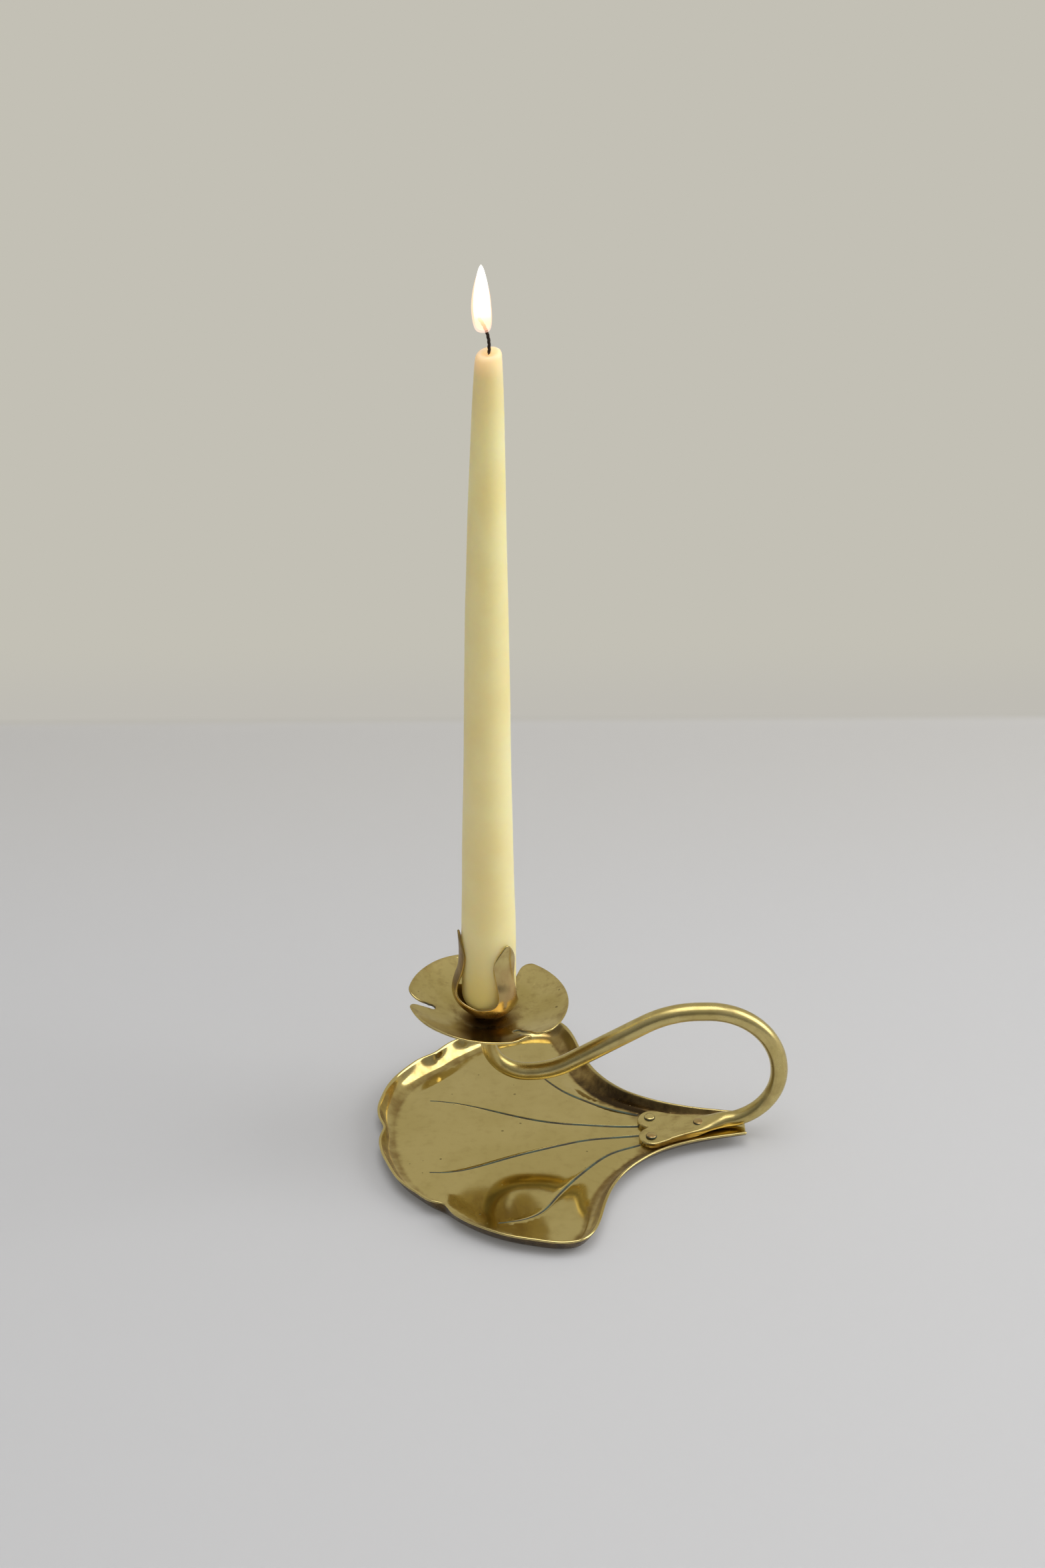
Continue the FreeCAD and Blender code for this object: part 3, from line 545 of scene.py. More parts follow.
def brass(name, seed, polish, uneven=1.0, blush=0.0, tarnish_and_shade=1.0, streak=0.5, beaten=0.0):
    """Old lacquer-free brass: polished, with tarnished clouds, specks, pits and fine scratches, and browner
    to dark where a piece's points ask for it, which is partly painted shade.
    """

    def paint(tree):
        place = tree.vector("ADD", tree.place(), (seed, seed * 1.7, seed * 0.6))
        cloud = tree.noise(place, 17.0, 4.0, 0.55) - 0.5
        mottle = tree.noise(place, 4.2, 4.0, 0.6) - 0.5
        wide = cloud + (tree.noise(place, 41.0, 2.0) - 0.5)
        streaks = (tree.noise(tree.attribute("grain", "Vector"), 1.0, 4.0, 0.65) - 0.5) * streak
        # each piece's own darkening: tarnished brass, and on some pieces painted shade
        brown_and_shade = tree.attribute("tarnish_and_shade") * tarnish_and_shade
        groove = tree.attribute("groove")
        stain_and_shade = tree.band(brown_and_shade + cloud * 1.1 + mottle * 0.5, 0.25, 1.05)
        to_speck, rare, size = tree.spots(place, 0.17)
        speck = tree.band(to_speck / (size * 0.11 + 0.03) + mottle * 1.6, 1.0, 0.6)
        speck = speck * tree.band(rare, 0.5, 0.54)
        to_pit, rare, _ = tree.spots(place, 0.45)
        pit = tree.band(to_pit, 0.13, 0.06) * tree.band(rare, 0.72, 0.75)
        green = tree.band(tree.noise(place, 7.0, 3.0, 0.6), 0.42, 0.62)

        sheen = tree.blend(tree.band(wide, -0.2, 0.25) * uneven, BRIGHT_BRASS, OLIVE_BRASS)
        metal = tree.coats(
            sheen,
            (tree.band(mottle + streaks, -0.05, 0.3) * (0.35 * uneven), BROWN_TARNISH_AND_SHADE),
            (tree.band(wide, -0.15, 0.2) * blush, BRONZE_BLUSH),
            (stain_and_shade * 0.85, BROWN_TARNISH_AND_SHADE),
            (tree.band(brown_and_shade + mottle * 0.7, 0.8, 1.5), DARK_TARNISH_AND_SHADE),
            (speck * 0.5, DARK_TARNISH_AND_SHADE),
            (pit * 0.6, BRIGHT_BRASS),
            (tree.attribute("worn") * 0.75, BRIGHT_BRASS),
            (tree.band(groove, 0.2, 0.75), tree.blend(green * 0.6, GROOVE_DIRT, VERDIGRIS)))

        rough = (mottle * 0.10 + cloud * 0.12) * uneven + stain_and_shade * 0.2 + speck * 0.25 + polish
        rough = rough + streaks * 0.10 + tree.band(groove, 0.1, 0.7) * 0.35
        height = mottle * 0.006 * uneven + tree.noise(place, 0.9, 3.0) * 0.0018 + streaks * 0.004
        height = height - pit * 0.03 - speck * 0.012
        if beaten:
            height = height + tree.noise(place, 5.5, 1.0) * beaten
        return {
            "Base Color": metal,
            "Metallic": 1.0 - tree.band(groove, 0.3, 0.8) * 0.9,
            "Roughness": tree.math("MAXIMUM", rough, 0.06),
            "Normal": tree.bump(height),
        }

    return surface(name, paint)


def beeswax(name):
    """Ivory wax with a painted deeper gold tint in and above the cup for light thrown up by the brass,
    painted warmth and glow near the top where the flame lights it from inside, and a faint painted glow all
    over.
    """
    foot, top = float(CANDLE_LOW[2]), float(CANDLE_HIGH[2])

    def paint(tree):
        place = tree.place()
        height = tree.parts(place)[2]
        cloud = tree.noise(place, 26.0, 3.0)
        bloom = tree.noise(place, 2.4, 4.0, 0.6)
        body = tree.coats(
            tree.blend(tree.band(cloud, 0.3, 0.7), tone(247, 236, 182), tone(242, 227, 165)),
            (tree.band(bloom, 0.5, 0.8) * 0.25, tone(242, 232, 184)),
            # painted gold tint low down for light from the brass, and painted warmth near the top for the
            # flame's light
            (tree.band(height, foot + 50.0, foot + 4.0) * 0.8, tone(240, 216, 136)),
            (tree.band(height, top - 42.0, top - 2.0) * 0.4, tone(240, 206, 158)))
        glow = tree.band(height, top - 11.0, top - 0.5)
        return {
            "Base Color": body,
            "Roughness": tree.band(bloom, 0.2, 0.9) * 0.12 + 0.38,
            "Subsurface Weight": 1.0,
            "Subsurface Radius": (1.0, 0.85, 0.45),
            "Subsurface Scale": 0.011,
            # painted glow: faint and yellow all over, peach near the top where the flame lights the wax
            "Emission Color": tree.blend(glow, tone(116, 104, 52), tone(250, 160, 132)),
            "Emission Strength": 0.32,
            "Normal": tree.bump(cloud * 0.06 + bloom * 0.008),
        }

    return surface(name, paint)


def burnt_cotton(name):
    """A wick: charred black, and glowing orange at its tip."""
    tip = float(WICK_HIGH[2])

    def paint(tree):
        place = tree.place()
        char = tree.noise(place, 0.5, 3.0, 0.6)
        ember = tree.band(tree.parts(place)[2], tip - 6.5, tip - 1.5)
        scorched = tree.blend(tree.band(char, 0.35, 0.7), tone(28, 20, 16), tone(58, 38, 26))
        return {
            "Base Color": tree.blend(ember, scorched, tone(196, 104, 34)),
            "Roughness": 0.85,
            "Emission Color": tree.blend(ember, (0, 0, 0, 1), tone(240, 138, 44)),
            "Emission Strength": 1.0,
        }

    return surface(name, paint)


def fire(name, low, high, cool, hot, veil):
    """Glowing gas from a low height to a high one: cool and hot colours, and how dense it is at each."""

    def paint(tree):
        heat = tree.band(tree.parts(tree.place())[2], low, high)
        return {
            "Base Color": (0, 0, 0, 1),
            "Roughness": 1.0,
            "Specular IOR Level": 0.0,
            "Emission Color": tree.blend(heat, cool, hot),
            "Emission Strength": 2.2,
            "Alpha": heat * (veil[1] - veil[0]) + veil[0],
        }

    return surface(name, paint)


# ---------------- leaf tray
def ramp(x):
    """How far the tray's floor has climbed above the table at x."""
    return np.clip(np.asarray(x, float) - RAMP_START, 0.0, None) * math.tan(RAMP_ANGLE)


def lean(points):
    """The front half of the leaf lies nearer the stem than the back half."""
    x, y = points[:, 0], points[:, 1]
    along = np.clip((x + 25) / 60, 0.35, 1.0) * np.minimum((TRAY_HIGH[0] - x) / 20, 1.0)
    moved = points.copy()
    moved[:, 0] -= LEAF_LEAN * along * np.clip(y / 25, -1.0, 1.0)
    return moved


def half_lip(side, count=300):
    """Half of the lip from the leaf's tip, its inward directions and its dents; side is 1 at the back."""
    stem = (TRAY_HIGH[0], STEM_HALF_WIDTH)
    line = curve_through(HALF_LIP + [stem], count, start=(0, 1), end=(16, -3))
    tangent = unit(np.gradient(line, axis=0))
    inward = np.stack([tangent[:, 1], -tangent[:, 0]], axis=1)
    inward[0], inward[-1] = (1, 0), (0, -1)
    step = np.linalg.norm(line[1] - line[0])
    along = np.arange(count) * step
    dent = np.zeros(count)
    for place, depth, reach in [TIP_CRIMP] + (BACK_CRIMPS if side > 0 else FRONT_CRIMPS):
        dent += depth * np.exp(-np.abs((along - place) / reach) ** 1.7)
    ripple = 0.12 * np.sin(along / 3.3 + side) + 0.10 * np.sin(along / 5.1 + 2 * side)
    dent += ripple * ease(along, 8, 20) * (1 - ease(along, 125, 150))
    line[:, 1] *= side
    inward[:, 1] *= side
    return line, inward, dent


def vein_rows():
    """Rows of points along the veins: places, depths and how deep in the groove each lies."""
    rows = []
    for vein in VEINS:
        line = curve_through(vein, 100)
        tangent = unit(np.gradient(line, axis=0))
        across = np.stack([-tangent[:, 1], tangent[:, 0]], axis=1)
        share = np.linspace(0, 1, len(line))
        width = VEIN_WIDTH * (1 - 0.6 * share ** 4)
        depth = VEIN_DEPTH * (1 - share ** 6)
        for offset, level in VEIN_SECTION:
            rows.append((line + across * (width * offset)[:, None], depth * level,
                         np.full(len(line), float(level ** 0.5))))
    return rows


def flared_lip(spot, inward, dent):
    """Rows of points from the lip's rim down its hollow curve to the floor's edge."""
    inset = SHEET / 2
    to_stem = np.clip((spot[:, 0] - 50) / (TRAY_HIGH[0] - 50), 0, 1)
    width = LEAF_FLARE + to_stem * (STEM_FLARE - LEAF_FLARE)
    rim = lean(spot + inward * (inset + dent)[:, None])
    wall = lean(spot + inward * (inset + 0.45 * dent + WALL_SPLAY * (width - inset))[:, None])
    toe = lean(spot + inward * (width - ROUND * (width - inset) + 0.1 * dent)[:, None])
    edge = lean(spot + inward * width[:, None])
    top = np.full(len(spot), TRAY_HIGH[2])
    floor = ramp(edge[:, 0]) + inset
    first, second, third, last = (np.column_stack(pole) for pole in (
        (rim, top), (wall, top - ROUND * (top - floor)), (toe, ramp(toe[:, 0]) + inset), (edge, floor)))
    return [(1 - s) ** 3 * first + 3 * s * (1 - s) ** 2 * second
            + 3 * s ** 2 * (1 - s) * third + s ** 3 * last for s in LIP_SHARES]


def tray_floor(edge):
    """The floor inside the lip, with its veins: points, faces, depth in a groove, and way to the edge."""
    loop = np.concatenate([edge, np.linspace(edge[-1], edge[0], 9)[1:-1]])
    veins = vein_rows()
    vein_points, level, groove = (np.concatenate(column) for column in zip(*veins))
    comb = honeycomb(loop, TRAY_STEP)
    comb = comb[nearest(comb, vein_points) > VEIN_CLEARANCE]
    flat = np.concatenate([loop, comb, vein_points])
    lines = ring_lines(len(loop))
    first = len(loop) + len(comb)
    bare = np.zeros(first)
    for row, _, _ in veins:
        lines += [(first + k, first + k + 1) for k in range(len(row) - 1)]
        first += len(row)
    away = nearest(flat, loop)
    x, y = flat.T
    dome = FLOOR_DOME * (0.5 + 0.5 * np.cos(np.pi * np.clip(y / 70, -1, 1)))
    dome = dome * ease(x, -44, -12) * (1 - ease(x, 30, 68)) * ease(away, 0, 8)
    beaten = 0.03 * np.sin(x / 7.1 + 1.3 * np.sin(y / 11)) * np.sin(y / 8.3 + 0.7) * ease(away, 2, 14)
    height = ramp(x) + SHEET / 2 + dome + beaten - np.append(bare, level)
    return np.column_stack([flat, height]), triangles(flat, lines), np.append(bare, groove), away


def make_leaf_tray(material):
    """The veined leaf with its flared lip, raised from one sheet."""
    spot, inward, dent = (np.concatenate([b[::-1], f[1:]]) for b, f in zip(half_lip(1), half_lip(-1)))
    rows = flared_lip(spot, inward, dent)
    columns, start = len(spot), len(spot) * (len(rows) - 1)
    floor, floor_faces, groove, away = tray_floor(rows[-1][:, :2])
    points = np.concatenate(rows + [floor[columns:]])
    faces = grid_faces(len(rows), columns) + [tuple(start + i for i in face) for face in floor_faces]

    values = {key: np.zeros(len(points)) for key in ("groove", "tarnish_and_shade", "worn")}
    x, y, _ = floor.T
    values["groove"][start:] = groove
    # the floor is darker along the lip's foot, on the back half towards the stem, and round the handle's
    # foot, where it is partly painted shade
    values["tarnish_and_shade"][start:] = (
        0.35 * (1 - ease(away, 0, 5)) + 0.65 * ease(x, 56, 70) * (1 - ease(x, 84, 98))
        + 0.5 * ease(y, 4, 22) * ease(x, 34, 60))
    x, y = spot.T
    # painted shade on the lip's walls towards the stem and along the back, over a wall that is browner lower
    # down
    shade = (0.5 * ease(x, 40, 66) * (1 - ease(x, 84, 98) * (y < 0))
             + 0.4 * ease(y, 0, 30) * ease(x, 20, 60))
    for r, share in enumerate(LIP_SHARES):
        row = slice(r * columns, (r + 1) * columns)
        values["tarnish_and_shade"][row] = 0.42 + 0.25 * share + shade
        values["worn"][row] = 1 - ease(share, 0.0, 0.12)
    points, faces, source, side = thicken(points, faces, SHEET)
    made = {key: value[source] for key, value in values.items()}
    # the underside and the outer wall under the lip are made dark: partly old oxide, partly painted shade of
    # the shadowed table they face
    under = side < -UNDER
    made["groove"][under] = 0
    made["tarnish_and_shade"][under] = 1.25
    made["worn"] = np.where(np.abs(side) < EDGE, 1.0, made["worn"] * (side > 0))
    made["grain"] = points * (0.12, 0.9, 0.9)
    return mesh_piece("leaf_tray_skin", points, faces, material, made)


# ---------------- forged handle
def rod_line(step=1.1):
    """The rod's centre line from the top of its upright to its ankle, in the XZ plane."""
    spot, heading = np.array([0.0, ROD_FOOT_OF_UPRIGHT]), -90.0
    line = [np.array([0.0, z]) for z in np.arange(PAN_LOW[2], ROD_FOOT_OF_UPRIGHT, -step)] + [spot]
    for bend in ROD_BENDS:
        ahead = np.array([math.cos(math.radians(heading)), math.sin(math.radians(heading))])
        if len(bend) == 1:
            parts = max(1, round(bend[0] / step))
            line += [spot + ahead * bend[0] * k / parts for k in range(1, parts + 1)]
        else:
            radius, angle = bend
            side = math.copysign(1.0, angle)
            centre = spot + np.array([-ahead[1], ahead[0]]) * side * radius
            arm = spot - centre
            parts = max(2, round(radius * math.radians(abs(angle)) / step))
            for k in range(1, parts + 1):
                turn = math.radians(angle) * k / parts
                line.append(centre + np.array([arm[0] * math.cos(turn) - arm[1] * math.sin(turn),
                                               arm[0] * math.sin(turn) + arm[1] * math.cos(turn)]))
            heading += angle
        spot = line[-1]
    return np.array(line), heading


def oval_height(share):
    """Height of an oval at shares of its half width."""
    return np.sqrt(np.clip(1 - share ** 2, 0, 1))


def foot_top(share, height, flat, away):
    """Height of the foot's upper face: from an oval's to a plate's with a rounded edge."""
    inner = np.clip(1 - away / FOOT_EDGE, 0, 1)
    plate = 1 - (FOOT_EDGE / height) * (1 - np.sqrt(1 - inner ** 2))
    return height * (0.5 + 0.5 * oval_height(share)) * (1 - flat) + height * plate * flat


def make_handle(material):
    """The forged rod from under the pan to the two-lobed foot that is riveted to the tray."""
    angles = (np.arange(ROD_SIDES) + 0.5) * 2 * math.pi / ROD_SIDES
    share = np.cos(angles) / math.cos(angles[0])
    upper = np.sin(angles) > 0
    line, heading = rod_line()
    tangent = unit(np.gradient(line, axis=0))
    along = distances(line)
    radii = np.interp(along, *zip(*ROD_RADII))
    loops = []
    for centre, ahead, radius in zip(line[:-2], tangent, radii):
        up = radius * np.sin(angles)
        loops.append(np.column_stack([
            centre[0] + ahead[1] * up, radius * np.cos(angles), centre[1] - ahead[0] * up]))
    runs = list(along[:-2])
    dirt = [0.15] * len(runs)
    ankle, rise = line[-1], math.radians(heading + 180)
    smooth = curve_through(FOOT_SECTIONS, 400, start=(-1, 0, 0, 0, 0))[::-1]
    for x in np.arange(ankle[0] - 0.4, FOOT_SECTIONS[-1][0], -FOOT_STEP):
        half, height, flat, clear = (float(np.interp(x, smooth[:, 0], smooth[:, k])) for k in (1, 2, 3, 4))
        flat = float(ease(flat))
        tilt = RAMP_ANGLE + (rise - RAMP_ANGLE) * float(ease(x, 88, ankle[0]))
        top = foot_top(share, height, flat, half * (1 - np.abs(share)))
        bottom = height * (0.5 - 0.5 * oval_height(share)) * (1 - flat)
        up = np.where(upper, top, bottom) - height / 2
        middle = float(ramp(x)) + SHEET + max(clear, 0.0) + height / 2
        loops.append(np.column_stack([x - math.sin(tilt) * up, half * share, middle + math.cos(tilt) * up]))
        runs.append(runs[-1] + FOOT_STEP)
        dirt.append(0.2 + 0.25 * float(ease(x, 100, 84)))
    for loop in foot_plate(share, upper):
        loops.append(loop)
        runs.append(runs[-1] + PLATE_STEP)
        dirt.append(0.45)
    points = np.concatenate(loops + [[(0, 0, PAN_LOW[2])]])
    faces = grid_faces(len(loops), ROD_SIDES, wrap=True)
    end, top = (len(loops) - 1) * ROD_SIDES, len(points) - 1
    faces += [(end + i, end + i + 1, end + ROD_SIDES - 2 - i, end + ROD_SIDES - 1 - i)
              for i in range(ROD_SIDES // 2 - 1)]
    faces += [(top, (i + 1) % ROD_SIDES, i) for i in range(ROD_SIDES)]
    run = np.append(np.repeat(runs, ROD_SIDES), 0)
    turn = np.append(np.tile(angles, len(loops)), 0)
    return mesh_piece("forged_handle", points, faces, material, {
        "grain": np.column_stack([np.cos(turn) * 2.4, np.sin(turn) * 2.4, run * 0.045]),
        "tarnish_and_shade": np.append(np.repeat(dirt, ROD_SIDES), 0.3)})


def foot_plate(share, upper):
    """Loops round the flat plate, from its last straight section to the ends of its two lobes."""
    x_start, half_start = FOOT_SECTIONS[-1][:2]
    centre = np.array([LOBE_CENTRE_X, LOBE_SPACING / 2])
    notch = 1.5 * math.pi - math.acos(min(1.0, centre[1] / LOBE_RADIUS))
    first, leave = math.radians(80), math.radians(125)
    shoulder, front = (centre + LOBE_RADIUS * np.column_stack([np.cos(a), np.sin(a)])
                       for a in (np.linspace(first, leave, 8), np.linspace(leave, notch, 40)))
    waist = [(x_start, half_start), (x_start - 2.6, half_start + 1.4)]
    side = curve_through(spread(np.concatenate([waist, shoulder]), 26)[::5], 40)
    front = spread(front, 61)
    outline = np.concatenate([side, front])
    outline = spread(np.concatenate([outline, outline[::-1] * MIRROR]), 900)
    front = np.concatenate([front, front[::-1] * MIRROR])
    across = np.linspace(-1, 1, len(front))
    near, far = (1 + share)[:, None] / 2, (1 - share)[:, None] / 2
    start = np.column_stack([np.full(len(share), x_start), half_start * share])
    end = np.column_stack([np.interp(-share, across, front[:, k]) for k in (0, 1)])
    steps = np.concatenate([np.linspace(0, 1, 22)[1:-2], 1 - np.array(PLATE_END_GAPS[::-1]) / PLATE_RUN])
    loops = []
    for v in np.unique(np.clip(steps, 0, 1)):
        edge = np.array([np.interp(v, np.linspace(0, 1, len(side)), side[:, k]) for k in (0, 1)])
        corner = (1 - v) * side[0] + v * side[-1]
        plan = (1 - v) * start + v * end + near * (edge - corner) + far * (edge - corner) * MIRROR
        away = nearest(plan, outline) if v < 1 else np.zeros(len(plan))
        top = foot_top(share * 0, FOOT_THICKNESS, 1.0, away)
        loops.append(np.column_stack([plan, ramp(plan[:, 0]) + SHEET + np.where(upper, top, 0.0)]))
    return loops


# ---------------- rivets
def dome_rivet(head, height, shank, grip, tail):
    """A turned rivet whose head rests at height 0."""
    under = [(0, -grip - tail), (head * 0.3, -grip - tail * 0.95), (head * 0.62, -grip - tail * 0.7),
             (head * 0.85, -grip), (shank, -grip), (shank, 0)]
    over = [(head * 0.97, 0), (head, height * 0.12), (head * 0.94, height * 0.36)]
    over += [(head * math.sin(a) * 0.99, height * (0.3 + 0.7 * math.cos(a)))
             for a in np.linspace(1.05, 0.12, 7)]
    return turned(under + over + [(0, height)], 40)


def rivet_tree():
    """Rivets on points: each turned a little, stretched to the thickness it grips."""
    tree, take = growth("rivets_on_points", {
        "Rivet": "Object", "Slope": "Float", "Grip": "Float", "Seed": "Int", "Finish": "Material"})
    model = tree.node("GeometryNodeObjectInfo", None, {"Object": take["Rivet"]}, "Geometry")
    spin, girth = (tree.node("FunctionNodeRandomValue", {"data_type": "FLOAT"},
                             {2: low, 3: high, "Seed": take["Seed"]}, output=1)
                   for low, high in ((0.0, 6.28), (0.96, 1.04)))
    turn = tree.joined(Y=take["Slope"] * -1.0, Z=spin)
    scale = tree.joined(X=girth, Y=1.0, Z=1.0)
    placed = tree.node("GeometryNodeInstanceOnPoints", None, {
        "Points": take["Geometry"], "Instance": model, "Rotation": turn, "Scale": scale})
    real = tree.node("GeometryNodeRealizeInstances", None, {"Geometry": placed})
    grip, tail = (tree.node("GeometryNodeInputNamedAttribute", {"data_type": "FLOAT"}, {"Name": name})
                  for name in ("grip", "tail"))
    drop = (take["Grip"] - grip) * tail
    down = tree.joined(X=drop * -math.sin(RAMP_ANGLE), Z=drop * math.cos(RAMP_ANGLE))
    moved = tree.node("GeometryNodeSetPosition", None, {"Geometry": real, "Offset": down})
    return tree.finish(moved, take["Finish"])


def make_rivets(material):
    """Three domed rivets, each set where its frame node stands."""
    points, faces = dome_rivet(RIVET_HEAD, RIVET_DOME, RIVET_SHANK, FOOT_THICKNESS + SHEET, RIVET_TAIL)
    ring = (points[:, 2] > -0.01) & (points[:, 2] < 0.45) & (np.hypot(points[:, 0], points[:, 1]) > 2.2)
    model = mesh_piece("rivet_model", points, faces, material, {
        "tail": (points[:, 2] < -0.5).astype(float), "groove": ring * 0.9})
    seats, grips = [], []
    for node in ("rivet_front", "rivet_back", "rivet_stem"):
        low, high = corners(node)
        grips.append(high[2] - low[2] - RIVET_TAIL - RIVET_DOME)
        seat = high[2] - RIVET_DOME / math.cos(RAMP_ANGLE) + 0.02
        seats.append((low + high) / 2 * (1, 1, 0) + (0, 0, seat))
    start = plain_mesh("rivet_seats", seats, values={"grip": np.array(grips) * MM})
    piece = grown("rivet_heads", start, rivet_tree(), {
        "Rivet": model, "Slope": RAMP_ANGLE, "Grip": (FOOT_THICKNESS + SHEET) * MM,
        "Seed": 4, "Finish": material})
    bpy.data.objects.remove(model)
    return piece


# ---------------- drip pan
def slot_bank(radius, mouth, eye, corner, side):
    """One bank of a slot along its own +X: from the rim, round the petal's corner, to the eye."""
    bank = mouth[1] + mouth[2] * side
    centre_y = bank * side + corner
    centre_x = math.sqrt((radius - corner) ** 2 - centre_y ** 2)
    reach = math.atan2(centre_y, centre_x)
    made = [(centre_x + corner * math.cos(a), (centre_y + corner * math.sin(a)) * side)
            for a in np.linspace(reach, -math.pi / 2, 16)]
    shore = [made[-1], (eye[0] + math.sqrt(SLOT_EYE ** 2 - SLOT_HALF_WIDTH ** 2),
                        eye[1] + SLOT_HALF_WIDTH * side)]
    if centre_x > mouth[0] + 1.5:
        shore.insert(1, (mouth[0], bank))
    return np.concatenate([made, curve_through(shore, 16, start=(-1, 0))[1:]])


def rotated(points, azimuth):
    """Flat points turned about the axis."""
    turn = math.radians(azimuth)
    return points @ np.array([(math.cos(turn), math.sin(turn)), (-math.sin(turn), math.cos(turn))])


def pan_outline():
    """The pan's edge, anticlockwise: three petals parted by keyhole slots."""
    radius = (PAN_HIGH[0] - PAN_LOW[0]) / 2
    open_by = math.asin(SLOT_HALF_WIDTH / SLOT_EYE)
    slots, mouths = [], []
    for azimuth, mouth, eye, corner_before, corner_after in PAN_SLOTS:
        into = slot_bank(radius, mouth, eye, corner_before, -1)
        out = slot_bank(radius, mouth, eye, corner_after, 1)[::-1]
        hole = [(eye[0] + SLOT_EYE * math.cos(a), eye[1] + SLOT_EYE * math.sin(a))
                for a in np.linspace(-open_by, -2 * math.pi + open_by, 18)[1:-1]]
        slots.append(rotated(np.concatenate([into, hole, out]), azimuth))
        mouths.append([math.radians(azimuth) + math.atan2(y, x) for x, y in (into[0], out[-1])])
    made = []
    for k, slot in enumerate(slots):
        begin, finish = mouths[k][1], mouths[(k + 1) % 3][0] + (2 * math.pi if k == 2 else 0)
        turns = np.linspace(begin, finish, 90)[1:-1]
        made += [slot, np.column_stack([radius * np.cos(turns), radius * np.sin(turns)])]
    return np.concatenate(made)


def pan_height(flat):
    """Height of the middle of the pan's sheet."""
    x, y = flat.T
    away = np.hypot(x, y)
    seat, rim = PAN_LOW[2] + PAN_SHEET / 2, PAN_HIGH[2] - PAN_SHEET / 2
    out = np.clip(away - PAN_SEAT_RADIUS, 0, None)
    share = out / (PAN_HIGH[0] - PAN_SEAT_RADIUS)
    climb = (rim - seat) * (0.40 * share + 0.60 * share ** 2) * ease(out, -0.1, 6)
    tilt = -PAN_TILT * x * ease(away, 8, 22)
    petals = 0.4 * np.cos(3 * (np.arctan2(y, x) - math.radians(PAN_SLOTS[1][0]))) * ease(away, 16, 34)
    beaten = 0.10 * np.sin(x / 4.3 + 0.6) * np.sin(y / 5.1 + 1.9) * ease(away, 10, 20)
    along, across = rotated(flat, -PAN_SLOTS[2][0]).T
    curl = PAN_CURL * np.exp(-((along - 33) / 5.5) ** 2 - ((across + 1.5) / 4.5) ** 2)
    return seat + climb + tilt - petals + beaten + curl * ease(-across, -0.8, 0.8)


def make_drip_pan(material):
    """The dished pan of three petals under the cup."""
    eyes = np.array([rotated(np.array(eye), azimuth) for azimuth, _, eye, _, _ in PAN_SLOTS])
    hole_radius, hole_sides, edge_step = CUP_PROFILE[0][0], 20, 0.55
    hole = np.array([(hole_radius * math.cos(a), -hole_radius * math.sin(a))
                     for a in np.linspace(0, 2 * math.pi, hole_sides + 1)[:-1]])
    loop = spread_loop(pan_outline(), edge_step)
    comb = honeycomb(loop, PAN_STEP)
    comb = comb[np.hypot(*comb.T) > hole_radius + 0.7]
    flat = np.concatenate([loop, hole, comb])
    count = len(loop)
    lines = ring_lines(count) + ring_lines(hole_sides, count)
    faces = [f for f in triangles(flat, lines) if not all(count <= i < count + hole_sides for i in f)]
    points = np.column_stack([flat, pan_height(flat)])
    # darker near the petals' edges, and painted shade and reflection of the dark cup round its foot
    shade = 0.5 * (1 - ease(nearest(flat, loop), 0, 7)) + 0.8 * (1 - ease(np.hypot(*flat.T), 10, 22))
    points, faces, source, side = thicken(points, faces, PAN_SHEET)
    tarnish_and_shade = np.where(side < -UNDER, 0.6, shade[source])
    worn = np.where(np.abs(side) < EDGE, 0.35, 0.0)
    deep = np.where(np.abs(side) < EDGE, 1 - ease(nearest(points[:, :2], eyes), 3, 7), 0.0)
    return mesh_piece("drip_pan_petals", points, faces, material, {
        "tarnish_and_shade": tarnish_and_shade + deep * 0.3, "worn": worn * (1 - deep), "groove": deep * 0.55,
        "grain": points * (0.5, 0.9, 0.9)})


def spread_loop(loop, step):
    """A closed loop's points, spaced evenly."""
    closed = np.concatenate([loop, loop[:1]])
    return spread(closed, int(distances(closed)[-1] / step))[:-1]


# ---------------- candle cup
def cup_sector():
    """A third of the cup's middle surface, unrolled flat, filled with triangles and rolled up again."""
    profile = curve_through(CUP_PROFILE, 400, start=(1, 0))
    along = distances(profile)
    wall = profile[:, 1] > CUP_PROFILE[2][1]
    valley = float(np.interp(VALLEY_HEIGHT, profile[wall, 1], along[wall]))
    seam = np.linspace(0, valley, 24)
    seam = np.column_stack([seam, math.pi / 3 * np.interp(seam, along, profile[:, 0])])
    side = curve_through([(seam[-1, 1], VALLEY_HEIGHT)] + SEPAL_SIDE, 64, start=(-1, 0.02))
    side = np.column_stack([np.interp(side[:, 1], profile[wall, 1], along[wall]), side[:, 0]])
    half = np.concatenate([seam[:-1], side])
    hole = np.linspace(half[0, 1], -half[0, 1], 8)[1:-1]
    loop = np.concatenate([half * MIRROR, half[::-1], np.column_stack([np.zeros(len(hole)), hole])])
    flat = np.concatenate([loop, honeycomb(loop, CUP_STEP)])
    radius, height = (np.interp(flat[:, 0], along, profile[:, k]) for k in (0, 1))
    angle = flat[:, 1] / radius
    rolled = np.column_stack([radius * np.cos(angle), radius * np.sin(angle), height])
    return rolled, triangles(flat, ring_lines(len(loop)))


